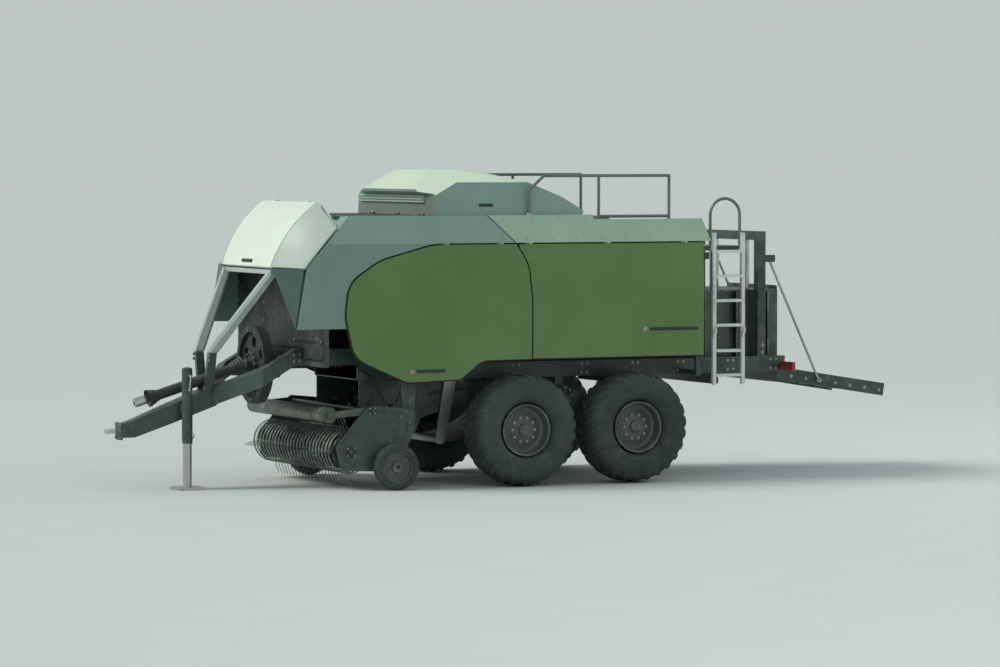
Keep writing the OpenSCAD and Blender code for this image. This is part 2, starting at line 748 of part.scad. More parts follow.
module knotter_cowl() color("whitesmoke") {
    difference() {
        cowl_form(0);
        cowl_form(shell_t);
        block([shoulder_back + 80, -cowl_y + shell_t, shoulder_z], [cowl_front - 50, cowl_y - shell_t, shoulder_z + 60]);
    }
    for (y = cowl_hinges) {
        y0 = y + hinge_l + seat_gap;
        bar_y(cowl_axis[0], cowl_axis[1], y0, y + 2 * hinge_l, 11);
        block([cowl_front - 35, y0, cowl_axis[1]], [cowl_axis[0], y + 2 * hinge_l, cowl_axis[1] + 11]);
        bar_y(cowl_axis[0], cowl_axis[1], y, y0 + 10, 6);
    }
}

module cowl_grille() color("#222222") {
    // Louvres under the lip, from the far side to where the near corner is cut back.
    low = cowl_lip[1] - 120;
    block([cowl_front + seat_gap, -cowl_y + 100, low], [cowl_front + 8, cowl_brow_y, low + 84]);
    for (i = [0:2])
        block([cowl_front + 8, -cowl_y + 100, low + i * 30], [cowl_front + 26, cowl_brow_y, low + 14 + i * 30]);
}

knot_x = 260;
knot_z = roof_z + plate_t + 235;
knot_half = ch_w / 2 - 40;
knot_r = 110;
module knotters() color("darkgray") {
    bar_y(knot_x, knot_z, -knot_half, knot_half, 30);
    for (i = [0:needle_n - 1]) {
        y = (i - (needle_n - 1) / 2) * needle_gap;
        along_y(y + 25, y + 40)
            polygon([[knot_x - 80, roof_z + plate_t], [knot_x + 160, roof_z + plate_t],
                     [knot_x + 70, knot_z + 70], [knot_x - 60, knot_z + 70]]);
        bar_y(knot_x, knot_z, y + 45, y + 75, knot_r);
    }
}

// The section of both doors: a crowned strip in Y and Z, with its outer and inner face as arcs.
door_foot = 1080;
function crown_at(t) = body_y + door_crown * 4 * t * (1 - t);
module door_shell() {
    steps = 8;
    span = door_top - door_foot;
    along_x(-2500, 3000)
        polygon(concat([for (i = [0:steps]) [crown_at(i / steps), door_foot + span * i / steps]],
                       [for (i = [steps:-1:0]) [crown_at(i / steps) - door_t, door_foot + span * i / steps]]));
}

module front_door_outline() {
    polygon(rounded(door_front_outline));
}

module rear_door_outline() {
    difference() {
        translate([rear_door_back, rear_door_bottom])
            square([rear_door_front - rear_door_back, door_top - rear_door_bottom]);
        offset(delta = panel_gap) front_door_outline();
        translate([600, 1000]) square([800, 2000]);
    }
}

// A door of the left side: the crowned sheet inside an outline.
module door() {
    intersection() {
        along_y(body_y - 120, body_y + 60) children();
        door_shell();
    }
}

module door_front_left() color("#6f8f3a") {
    door() front_door_outline();
    door_knuckles(front_hinges);
}

module door_front_right() color("#6f8f3a") mirror([0, 1, 0]) door_front_left();

module door_rear_left() color("#6f8f3a") {
    door() rear_door_outline();
    door_knuckles(rear_hinges);
}

module door_rear_right() color("#6f8f3a") mirror([0, 1, 0]) door_rear_left();

twine_rows = 2;
twine_cols = 6;
twine_r = 130;
twine_h = 300;
twine_pitch = 340;
twine_y = (side_out + post_y) / 2;
twine_floor = frame_top + 335;
twine_step = 420;
shelf_t = 15;
shelf_front = rear_door_front - 400;
module twine_racks() color("gray") {
    both() {
        block([rear_door_back - 20, side_out, rail_top], [rear_door_back, post_y, deck_z - 100]);
        for (i = [0:twine_rows - 1])
            block([rear_door_back, side_out + 70, twine_floor + i * twine_step],
                  [shelf_front, post_y - 80, twine_floor + shelf_t + i * twine_step]);
    }
}

module twine_balls() color("orange") {
    both()
        for (i = [0:twine_rows - 1], k = [0:twine_cols - 1])
            translate([rear_door_back + twine_r + 50 + k * twine_pitch, twine_y, twine_floor + shelf_t + i * twine_step])
                cylinder(h = twine_h, r = twine_r);
}

module platform() color("dimgray") {
    y1 = post_y - door_room;
    block([deck_back, -y1, deck_z], [shoulder_back - 20, y1, deck_z + 12]);
    block([deck_back, -y1, deck_z - 40], [deck_back + tube_w, y1, deck_z]);
    both() block([deck_back, side_out - 60, roof_z + plate_t], [deck_back + tube_w, side_out, deck_z - 40]);
}

railing_posts = [-730, -1600];
railing_front = [120, -60];
// The grab rail round the head of the ladder: its middle, its half width and where it starts to bend.
grab_x = -2265;
grab_half = 185;
grab_bend_z = 2955;
module railings() color("lightgray") {
    y = body_y - shoulder_in - 40;
    bend_z = railing_z - 160;
    both() {
        bar([railing_front[0], y, shoulder_z], [railing_front[0], y, bend_z], railing_r);
        bar([railing_front[0], y, bend_z], [railing_front[1], y, railing_z], railing_r);
        bar([railing_front[1], y, railing_z], [railing_posts[1], y, railing_z], railing_r);
        bar([railing_posts[0], y, 2950], [railing_posts[1], y, 2950], railing_r);
        for (x = railing_posts) bar([x, y, deck_z + 12], [x, y, railing_z], railing_r);
        translate([railing_front[0], y, bend_z]) sphere(r = railing_r);
        for (x = [railing_front[1], railing_posts[1]]) translate([x, y, railing_z]) sphere(r = railing_r);
    }
    grab_y = post_y - door_room - 30;
    for (x = [grab_x - grab_half, grab_x + grab_half])
        bar([x, grab_y, deck_z + 12], [x, grab_y, grab_bend_z], railing_r);
    translate([grab_x, grab_y, grab_bend_z]) rotate([90, 0, 0])
        rotate_extrude(angle = 180) translate([grab_half, 0]) circle(r = railing_r);
}

ladder_x = [-2470, -2110];
ladder_split = 1645;
ladder_bar = 40;
rung_h = 30;
// Step between two rungs, the lowest fixed rung above the fold, and the folding part's length.
rung_step = 275;
rung_up = 65;
ladder_fold_l = 585;
ladder_axis_y = body_y + 32;
ear_r = 12;
ladder_pin_r = 8;
module rung(z) {
    block([ladder_x[0] + ladder_bar, body_y - 30, z], [ladder_x[1], body_y + 30, z + rung_h]);
}

module ladder() color("whitesmoke") {
    for (x = ladder_x) {
        block([x, body_y - 30, ladder_split + 5], [x + ladder_bar, body_y + 10, 2760]);
        block([x, post_y - door_room, deck_z - 40], [x + ladder_bar, body_y - 30, deck_z + 12]);
        // Ears of the fold's hinge, outside the ladder's rails.
        difference() {
            union() {
                block([x + 10, body_y + 10, ladder_split + 5], [x + 24, ladder_axis_y + ear_r, ladder_split + 60]);
                bar_x(x + 10, x + 24, ladder_axis_y, ladder_split, ear_r);
            }
            bar_x(x, x + 50, ladder_axis_y, ladder_split, ladder_pin_r + run_gap);
        }
    }
    for (i = [0:3])
        rung(ladder_split + rung_up + i * rung_step);
}

module ladder_foot() color("whitesmoke") {
    for (x = ladder_x) {
        block([x, body_y - 30, ladder_split - ladder_fold_l], [x + ladder_bar, body_y + 10, ladder_split - 5]);
        block([x + 24 + seat_gap, body_y + 10, ladder_split - 60], [x + ladder_bar, ladder_axis_y, ladder_split - 12]);
        bar_x(x + 24 + seat_gap, x + ladder_bar, ladder_axis_y, ladder_split, 14);
        bar_x(x + 6, x + ladder_bar, ladder_axis_y, ladder_split, ladder_pin_r);
    }
    for (i = [1:2]) rung(ladder_split + rung_up - rung_h + 20 - i * rung_step);
}

feed_open = [50, 600];
feed_y = ch_w / 2 - 45;

module needle_slots(x0, x1, z0, z1) {
    for (i = [0:needle_n - 1]) {
        y = (i - (needle_n - 1) / 2) * needle_gap;
        block([x0, y - needle_t / 2 - 10, z0], [x1, y + needle_t / 2 + 10, z1]);
    }
}

module chamber_floor() color("gray") {
    difference() {
        block([frame_rear, -ch_w / 2, frame_top], [chamber_front, ch_w / 2, floor_top]);
        block([feed_open[0], -feed_y, frame_top - 1], [feed_open[1], feed_y, floor_top + 1]);
        needle_slots(-230, feed_open[0] + 1, frame_top - 1, floor_top + 1);
    }
}

module chamber_sides() color("gray") {
    both() {
        block([frame_rear, ch_w / 2, frame_top], [chamber_front, side_out, roof_z]);
        bar_y(needle_px, needle_pz, side_out, side_out + 60, 35);
        for (x = [frame_rear + 150, frame_rear + 550, frame_rear + 950])
            block([x, side_out, frame_top], [x + 20, side_out + 80, roof_z]);
    }
}

module chamber_roof() color("gray") {
    difference() {
        block([frame_rear, -side_out, roof_z], [chamber_front, side_out, roof_z + plate_t]);
        needle_slots(-80, 180, roof_z - 1, roof_z + plate_t + 1);
    }
}

density_x = [frame_rear + 250, frame_rear + 350];
density_top = 2760;
ram_y = 380;
ram_r = 55;
module density_frame() color("dimgray") {
    both() {
        block([density_x[0], rail_y, rail_top], [density_x[1], rail_out, density_top]);
        // Bracket and pin that the chute's strut swings on.
        block([strut_top[0] - 40, rail_y, strut_top[1] - 40], [density_x[0], rail_y + 30, strut_top[1] + 40]);
        bar_y(strut_top[0], strut_top[1], strut_y - strut_r, rail_y, 15);
    }
    block([density_x[0], -rail_y, density_top - 100], [density_x[1], rail_y, density_top]);
}

module density_rams() color("silver") {
    x = (density_x[0] + density_x[1]) / 2;
    both() bar([x, ram_y, roof_z + plate_t], [x, ram_y, density_top - 100], ram_r);
}

plunger_face = 620;
module plunger() color("dimgray") {
    low = floor_top + seat_gap;
    difference() {
        block([plunger_face, -ch_w / 2 + clear, low + 10], [plunger_face + 60, ch_w / 2 - clear, roof_z - 10]);
        needle_slots(plunger_face - 1, plunger_face + 61, low, roof_z);
    }
    for (i = [0:needle_n]) {
        y = (i - needle_n / 2) * needle_gap;
        block([plunger_face + 60, y - 10, low + 10], [plunger_face + 420, y + 10, roof_z - 10]);
    }
    block([plunger_face + 420, -ch_w / 2 + clear, low + 10], [plunger_face + 440, ch_w / 2 - clear, roof_z - 10]);
    both()
        block([plunger_face, ch_w / 2 - 40, low], [plunger_face + 440, ch_w / 2 - clear, low + 60]);
}

module needles() color("silver") {
    c = [needle_px, needle_pz];
    tip = 180 + needle_rest;
    root = tip + needle_span;
    for (i = [0:needle_n - 1]) {
        y = (i - (needle_n - 1) / 2) * needle_gap;
        along_y(y - needle_t / 2, y + needle_t / 2) sector(c, needle_r - 20, needle_r + 20, tip, root, 16);
    }
    end = c + needle_r * [cos(root + 2), sin(root + 2)];
    bar_y(end[0], end[1], -side_out - 55, side_out + 55, 42);
    both()
        difference() {
            along_y(side_out + 25, side_out + 55)
                hull() {
                    translate(c) circle(r = 75);
                    translate(end) circle(r = 55);
                }
            bar_y(needle_px, needle_pz, side_out, side_out + 60, 35 + run_gap);
        }
}

module feed_housing() color("dimgray") {
    y0 = ch_w / 2;
    both()
        difference() {
            along_y(y0, y0 + 12)
                difference() {
                    union() {
                        translate([rotor_x, rotor_z]) circle(r = 370);
                        polygon([[feed_open[0] - 12, frame_top], [rotor_x + 370, frame_top],
                                 [rotor_x + 370, rotor_z], [rotor_x, rotor_z - 370], [rotor_x - 330, rotor_z - 80],
                                 [feed_open[0] - 12, frame_top - 64]]);
                    }
                    translate([0, frame_top]) square([3000, 100]);
                }
            bar_y(rotor_x, rotor_z, y0 - 1, y0 + 13, 40 + run_gap);
        }
    along_y(-y0, y0) {
        sector([rotor_x, rotor_z], rotor_r + 15, rotor_r + 27, 190, 300, 14);
        polygon([[rotor_x - 300, rotor_z - 53], [rotor_x - 312, rotor_z - 56], [feed_open[0] - 12, frame_top - 62],
                 [feed_open[0] - 12, frame_top], [feed_open[0], frame_top], [feed_open[0], frame_top - 50]]);
    }
}

module feed_rotor() color("gray") {
    bar_y(rotor_x, rotor_z, -ch_w / 2 + clear, ch_w / 2 - clear, 130);
    bar_y(rotor_x, rotor_z, -ch_w / 2 - 40, ch_w / 2 + 40, 40);
    for (i = [0:rotor_stars - 1]) {
        y = (i - (rotor_stars - 1) / 2) * 120;
        along_y(y - 7, y + 7)
            translate([rotor_x, rotor_z])
                for (k = [0:3])
                    rotate(k * 90 + i * 20)
                        polygon([[60, -90], [60, 90], [rotor_r - 5, 40], [rotor_r - 5, 10], [180, -20]]);
    }
}

gauge_x = 1760;
gauge_y = pickup_y + 24 + gauge_w / 2;
gauge_shaft_r = 20;
wind_x = 2000;
wind_z = 860;
reel_shaft_r = 25;
wind_r = 22;
press_x = reel_x + 232;
press_z = reel_z + 403;
press_shaft_r = 20;
module pickup_frame() color("dimgray") {
    side = [
        [rotor_x - 60, rotor_z + 70, 50], [wind_x + 30, wind_z + 60, 60], [reel_x - 40, rotor_z - 60, 80],
        [reel_x + 180, reel_z + 60, 100], [reel_x + 120, reel_z - 200, 80], [gauge_x - 50, gauge_r - 60, 40],
        [rotor_x - 60, rotor_z - 160, 80],
    ];
    both() {
        difference() {
            along_y(pickup_y - 12, pickup_y) polygon(rounded(side));
            bar_y(reel_x, reel_z, pickup_y - 20, pickup_y + 10, reel_shaft_r + run_gap);
            bar_y(wind_x, wind_z, pickup_y - 20, pickup_y + 10, wind_r + run_gap);
        }
        bar_y(rotor_x, rotor_z, hanger_y - 38, pickup_y - 12, pivot_r);
        bar_y(gauge_x, gauge_r + 2, pickup_y, gauge_y + 30, gauge_shaft_r);
    }
    // Rear sheet, bent about the pivot so that it clears the feed housing at every height.
    along_y(-pickup_y + 12, pickup_y - 12)
        sector([rotor_x, rotor_z], 402, 412, 285, 322, 6);
}

band_n = 24;
band_w = 40;
band_r = 236;
band_end = 125;
band_t = 6;
// How far behind the reel's axis the bands end.
band_back = 345;
module pickup_bands() color("gray") {
    // Stripper bands, each a strip bent round the reel and led back to a bar that the tines pass.
    half = pickup_y - 60;
    end_x = band_r * cos(band_end);
    end_z = band_r * sin(band_end);
    for (i = [0:band_n]) {
        y = -half + i * 2 * half / band_n;
        along_y(y - band_w / 2, y + band_w / 2) {
            sector([reel_x, reel_z], band_r, band_r + band_t, -band_end, band_end, 14);
            for (side = [-1, 1])
                polygon([[reel_x + end_x, reel_z + side * end_z], [reel_x - band_back, reel_z + side * end_z],
                         [reel_x - band_back, reel_z + side * (end_z + band_t - 1)],
                         [reel_x + end_x, reel_z + side * (end_z + band_t - 1)]]);
        }
    }
    for (side = [-1, 1])
        bar_y(reel_x - band_back, reel_z + side * end_z, -pickup_y + 12, pickup_y - 12, 15);
}

tine_bars = 4;
tine_bar_r = 170;
module pickup_reel() color("darkgray") {
    half = pickup_y - 60;
    bar_y(reel_x, reel_z, -pickup_y + 12 + clear, pickup_y - 12 - clear, 45);
    bar_y(reel_x, reel_z, -pickup_y, pickup_y, reel_shaft_r);
    for (y = [-1, -0.5, 0, 0.5, 1])
        bar_y(reel_x, reel_z, y * (half - 20) - 4, y * (half - 20) + 4, tine_bar_r + 20);
    for (k = [0:tine_bars - 1])
        translate([reel_x, 0, reel_z]) rotate([0, k * 360 / tine_bars, 0]) {
            bar_y(tine_bar_r, 0, -half, half, 16);
            // A tine in each gap between two bands.
            for (i = [0:band_n - 1])
                translate([0, -half + (i + 0.5) * 2 * half / band_n, 0]) rotate([0, 90, 0])
                    translate([0, 0, tine_bar_r]) cylinder(h = reel_r - tine_bar_r, r = 5, $fn = 6);
        }
}

module wind_guard() color("gray") {
    both()
        difference() {
            along_y(pickup_y - 40, pickup_y - 28)
                hull() {
                    translate([wind_x, wind_z]) circle(r = 40);
                    translate([press_x, press_z]) circle(r = 35);
                }
            bar_y(press_x, press_z, pickup_y - 50, pickup_y, press_shaft_r + run_gap);
        }
    bar_y(wind_x, wind_z, -pickup_y, pickup_y, wind_r);
}

module press_roller() color("gray") {
    bar_y(press_x, press_z, -pickup_y + 46, pickup_y - 46, press_r);
    bar_y(press_x, press_z, -pickup_y + 28, pickup_y - 28, press_shaft_r);
}

module gauge_wheel(side) {
    translate([gauge_x, side * gauge_y, gauge_r + 2]) rotate([90, 0, 0])
        rotate_extrude()
            polygon([[gauge_shaft_r + run_gap, -50], [60, -50], [60, -20], [gauge_r - 80, -20],
                     [gauge_r - 80, -gauge_w / 2], [gauge_r - 20, -gauge_w / 2], [gauge_r, -gauge_w / 2 + 20],
                     [gauge_r, gauge_w / 2 - 20], [gauge_r - 20, gauge_w / 2], [gauge_r - 80, gauge_w / 2],
                     [gauge_r - 80, 20], [60, 20], [60, 50], [gauge_shaft_r + run_gap, 50]]);
}

module gauge_left() color("#333333") gauge_wheel(1);
module gauge_right() color("#333333") gauge_wheel(-1);

axle_h = 160;
rocker_pin_r = 60;
module axle_beam() color("dimgray") {
    block([axle_mid - axle_h / 2, -rail_out - 40, frame_top - cross_h - axle_h],
          [axle_mid + axle_h / 2, rail_out + 40, frame_top - cross_h]);
    both() bar_y(axle_mid, frame_top - cross_h - axle_h / 2, rail_out + 40, rail_out + 150, rocker_pin_r);
}

hub_y = track_w / 2;
hub_r = 45;
module rockers() color("dimgray") {
    y0 = rail_out + 60;
    z1 = frame_top - cross_h - axle_h / 2;
    both() {
        difference() {
            along_y(y0, y0 + 80)
                union() {
                    hull() {
                        translate([axle_mid, z1]) circle(r = 110);
                        translate([axle_x, tyre_r]) circle(r = 85);
                    }
                    hull() {
                        translate([axle_mid, z1]) circle(r = 110);
                        translate([axle_x - axle_gap, tyre_r]) circle(r = 85);
                    }
                }
            bar_y(axle_mid, z1, y0 - 1, y0 + 81, rocker_pin_r + run_gap);
        }
        for (x = [axle_x, axle_x - axle_gap]) bar_y(x, tyre_r, y0 + 80, hub_y + 90, hub_r);
    }
}

// A wheel: a disc rim on its hub, and the tyre seated on it.
module wheel(x, side) {
    w = tyre_w / 2;
    r = tyre_r;
    bead = rim_d / 2;
    disc = 40;
    translate([x, side * hub_y, tyre_r]) rotate([side * -90, 0, 0]) {
        color("#2b2b2b")
            rotate_extrude()
                polygon([[bead + seat_gap, -w + 60], [bead + 90, -w], [r - 110, -w + 10], [r - 30, -w + 50],
                         [r, -w + 110], [r, w - 110], [r - 30, w - 50], [r - 110, w - 10], [bead + 90, w],
                         [bead + seat_gap, w - 60]]);
        color("whitesmoke")
            rotate_extrude()
                polygon([[hub_r + run_gap, -60], [110, -60], [110, disc], [bead - 30, disc], [bead - 30, 60 - w],
                         [bead, 60 - w], [bead, w - 60], [bead - 30, w - 60], [bead - 30, disc + 25],
                         [110, disc + 25], [110, 90], [hub_r + run_gap, 90]]);
    }
}

module wheel_front_left() wheel(axle_x, 1);
module wheel_front_right() wheel(axle_x, -1);
module wheel_rear_left() wheel(axle_x - axle_gap, 1);
module wheel_rear_right() wheel(axle_x - axle_gap, -1);

// The chute's own frame: origin on its hinge, -X along its slope.
module chute_frame() {
    translate([chute_hinge[0], 0, chute_hinge[1]]) rotate([0, -chute_slope, 0]) children();
}
chute_rim = 84;
chute_l = (chute_hinge[0] - chute_tip - chute_rim * sin(chute_slope)) / cos(chute_slope);

module chute() color("dimgray") {
    chute_frame() {
        both() {
            difference() {
                block([-chute_l, chute_half - 20, -60], [40, chute_half, chute_rim]);
                block([-20, chute_half - 30, 60], [60, chute_half + 10, 100]);
            }
            bar_y(0, 0, chute_half, chute_half + 35, chute_pin_r);
        }
        for (i = [0:chute_rollers - 1])
            bar_y(-80 - i * (chute_l - 140) / (chute_rollers - 1), 0, -chute_half + 20, chute_half - 20,
                  chute_roller_r);
    }
}

// A strut's foot: its eye beside the chute's side, short of it by the gap that it needs to drift.
strut_eye = [chute_hinge[0] - strut_pin, chute_hinge[1] - 60];
module chute_struts() color("lightgray") {
    both()
        difference() {
            union() {
                bar([strut_top[0], strut_y, strut_top[1]], [strut_eye[0], strut_y, strut_eye[1]], strut_r);
                bar_y(strut_top[0], strut_top[1], strut_y - strut_r, strut_y + strut_r, 32);
                bar_y(strut_eye[0], strut_eye[1], strut_y - strut_r, strut_y + strut_r, 26);
            }
            bar_y(strut_top[0], strut_top[1], strut_y - 30, strut_y + 30, 15 + run_gap);
            bar_y(strut_eye[0], strut_eye[1], strut_y - 30, strut_y + 30, 12);
        }
}

module tail_lamps() color("red") {
    x = frame_rear + 40;
    z = frame_top + 20;
    both() {
        block([x, rail_out + 30, z], [x + 40, rail_out + 330, z + 100]);
        block([x + 10, rail_out, z + 30], [x + 30, rail_out + 30, z + 70]);
    }
}

main_frame();
drawbar();
tow_eye();
jack_sleeve();
jack_leg();
nose_arms();
front_bulkhead();
gearbox();
flywheel();
drive_guard();
drive_shaft();
body_frame();
front_hood();
hood_bow();
corner_panels();
nose_cheeks();
side_panels();
front_shoulders();
rear_shoulders();
roof_deck();
knotter_cowl();
cowl_grille();
knotters();
door_front_left();
door_front_right();
door_rear_left();
door_rear_right();
twine_racks();
twine_balls();
platform();
railings();
ladder();
ladder_foot();
chamber_floor();
chamber_sides();
chamber_roof();
density_frame();
density_rams();
plunger();
needles();
feed_housing();
feed_rotor();
pickup_frame();
pickup_bands();
pickup_reel();
wind_guard();
press_roller();
gauge_left();
gauge_right();
axle_beam();
rockers();
wheel_front_left();
wheel_front_right();
wheel_rear_left();
wheel_rear_right();
chute();
chute_struts();
tail_lamps();
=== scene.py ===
# %% [markdown]
# A large square baler, dressed for a studio render.
# The imported model gives every solid in one frame: metres, +X the way it is towed, +Y left, +Z up.
# This cell loads it.

# %% Load the frame
import json
import math
import bmesh
import bpy
import numpy as np
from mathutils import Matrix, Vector


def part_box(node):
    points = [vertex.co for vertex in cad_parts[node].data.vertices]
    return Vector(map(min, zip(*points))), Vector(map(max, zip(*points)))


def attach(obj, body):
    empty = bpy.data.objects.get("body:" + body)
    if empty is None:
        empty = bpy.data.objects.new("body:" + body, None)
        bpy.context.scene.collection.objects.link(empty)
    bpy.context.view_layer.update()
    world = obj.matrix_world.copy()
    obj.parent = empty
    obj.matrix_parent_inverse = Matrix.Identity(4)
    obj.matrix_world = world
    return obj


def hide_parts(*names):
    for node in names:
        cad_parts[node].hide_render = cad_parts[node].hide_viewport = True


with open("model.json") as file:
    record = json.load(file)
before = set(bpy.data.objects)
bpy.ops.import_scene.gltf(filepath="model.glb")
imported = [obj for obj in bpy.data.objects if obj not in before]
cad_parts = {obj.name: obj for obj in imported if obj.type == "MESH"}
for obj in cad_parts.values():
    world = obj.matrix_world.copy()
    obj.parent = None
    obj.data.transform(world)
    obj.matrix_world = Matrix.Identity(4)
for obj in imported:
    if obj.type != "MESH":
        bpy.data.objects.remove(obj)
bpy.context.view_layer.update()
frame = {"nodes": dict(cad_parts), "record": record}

record = frame["record"]
slot_of = {p["node"]: p["material_slot"] for p in record["subparts"]}
body_of = {n: b for b, nodes in record["behaviour"]["bodies"].items() for n in nodes}

# %% [markdown]
# The view comes first, because every other choice is judged through it.
# The machine was seen from some fifty metres away, from its left and a little ahead, at eye height.
# A long lens from the same distance keeps that flat perspective and fills the frame with the machine.

# %% Camera
view_azimuth, view_height, view_far = 155.5, 2.4, 50.0
target = np.array([-0.05, 0.0, 1.62])
a, e = math.radians(view_azimuth), math.radians(view_height)
outward = np.array([math.sin(a) * math.cos(e), -math.cos(a) * math.cos(e), math.sin(e)])
camera = bpy.data.objects.new("camera", bpy.data.cameras.new("camera"))
bpy.context.scene.collection.objects.link(camera)
camera.location = target + view_far * outward
camera.rotation_euler = (math.pi / 2 - e, 0, a)
camera.data.lens = 160
camera.data.clip_end = 400
bpy.context.scene.camera = camera
print("camera at", np.round(camera.location, 2))

# %% [markdown]
# Real daylight comes from the whole sky, with the sun ahead of the machine and above it.
# A sun lamp with a wide disc does the same in a studio: its light falls evenly on machine and floor
# as far as the eye goes, and its shadows are soft. It stands ahead and on the far side, which lights
# the hood and leaves the near side in quiet half light. Two weak square lamps open the shadows.
# The plain view transform keeps white paint white, as the camera that saw the machine did.

# %% Lights and floor
def lamp(name, place, aim, energy, tint, size=None, spread=None):
    """A square area lamp of a size, or a sun with a spread in degrees, turned from place to aim."""
    light = bpy.data.lights.new(name, "SUN" if spread else "AREA")
    if spread:
        light.angle = math.radians(spread)
    else:
        light.shape, light.size = "SQUARE", size
    light.energy = energy
    light.color = tint
    holder = bpy.data.objects.new(name, light)
    bpy.context.scene.collection.objects.link(holder)
    holder.location = place
    holder.rotation_euler = (Vector(aim) - Vector(place)).to_track_quat("-Z", "Y").to_euler()
    return holder

bpy.context.scene.view_settings.view_transform = "Standard"
lamp("key", (12, -3.5, 12), (0, 0, 1.5), 2.15, (1.0, 0.99, 0.94), spread=24)
lamp("near_fill", (2, 20, 8), (0, 0, 1.2), 200, (0.90, 0.97, 1.0), size=12)
lamp("rear_rim", (-14, 4, 10), (-1, 0, 1.5), 350, (0.95, 0.98, 1.0), size=8)

horizon_tone, zenith_tone = (0.872, 0.952, 0.925, 1), (0.66, 0.76, 0.80, 1)
world = bpy.data.worlds.new("studio")
bpy.context.scene.world = world
world.use_nodes = True
sky = world.node_tree
upward = sky.nodes.new("ShaderNodeSeparateXYZ")
climb = sky.nodes.new("ShaderNodeMapRange")
tone = sky.nodes.new("ShaderNodeMix")
tone.data_type = "RGBA"
climb.inputs["From Min"].default_value, climb.inputs["From Max"].default_value = 0.04, 0.30
tone.inputs[6].default_value, tone.inputs[7].default_value = horizon_tone, zenith_tone
sky.links.new(sky.nodes.new("ShaderNodeTexCoord").outputs["Generated"], upward.inputs["Vector"])
sky.links.new(upward.outputs["Z"], climb.inputs["Value"])
sky.links.new(climb.outputs["Result"], tone.inputs["Factor"])
sky.links.new(tone.outputs[2], sky.nodes["Background"].inputs["Color"])
sky.nodes["Background"].inputs["Strength"].default_value = 0.60

floor_mesh = bpy.data.meshes.new("floor")
floor_mesh.from_pydata([(-300, -300, 0), (300, -300, 0), (300, 300, 0), (-300, 300, 0)], [], [(0, 1, 2, 3)])
floor = bpy.data.objects.new("floor", floor_mesh)
bpy.context.scene.collection.objects.link(floor)
print("lamps", len(bpy.data.lights), "and a sky of two tones")

# %% [markdown]
# Paint on a field machine is never one flat colour. It fades in broad patches, carries dust on its
# lower parts and on what faces up, and rubs bright along its edges. One recipe gives all of that,
# and each finish sets how much of it shows. It reads only Object coordinates, so the pattern
# stays in place when a door opens.

# %% Finishes
class Wiring:
    """Short hand for a material's nodes and the links between them."""
    def __init__(self, name):
        self.material = bpy.data.materials.new(name)
        self.material.use_nodes = True
        self.tree = self.material.node_tree
        self.shader = self.tree.nodes["Principled BSDF"]

    def node(self, kind, **values):
        made = self.tree.nodes.new(kind)
        for key, value in values.items():
            if hasattr(made, key):
                setattr(made, key, value)
            else:
                made.inputs[key.replace("_", " ")].default_value = value
        return made

    def put(self, value, socket):
        """Links a socket to another socket, or sets it to a number or a colour."""
        if isinstance(value, tuple):
            socket.default_value = (*value, 1)
        elif isinstance(value, float):
            socket.default_value = value
        else:
            self.tree.links.new(value, socket)

    def blend(self, factor, first, second):
        """Mixes two colours, each a socket or a tuple, by a factor socket."""
        mix = self.node("ShaderNodeMix", data_type="RGBA")
        for value, socket in ((factor, mix.inputs["Factor"]), (first, mix.inputs[6]), (second, mix.inputs[7])):
            self.put(value, socket)
        return mix.outputs[2]

    def spread(self, source, low, high, to_low=0.0, to_high=1.0):
        """Maps a value from low..high to to_low..to_high, held at both ends."""
        ranged = self.node("ShaderNodeMapRange", From_Min=low, From_Max=high, To_Min=to_low, To_Max=to_high)
        self.put(source, ranged.inputs["Value"])
        return ranged.outputs["Result"]

    def times(self, first, second):
        product = self.node("ShaderNodeMath", operation="MULTIPLY")
        for value, socket in zip((first, second), product.inputs):
            self.put(value, socket)
        return product.outputs[0]

dust_colour = (0.26, 0.26, 0.18)

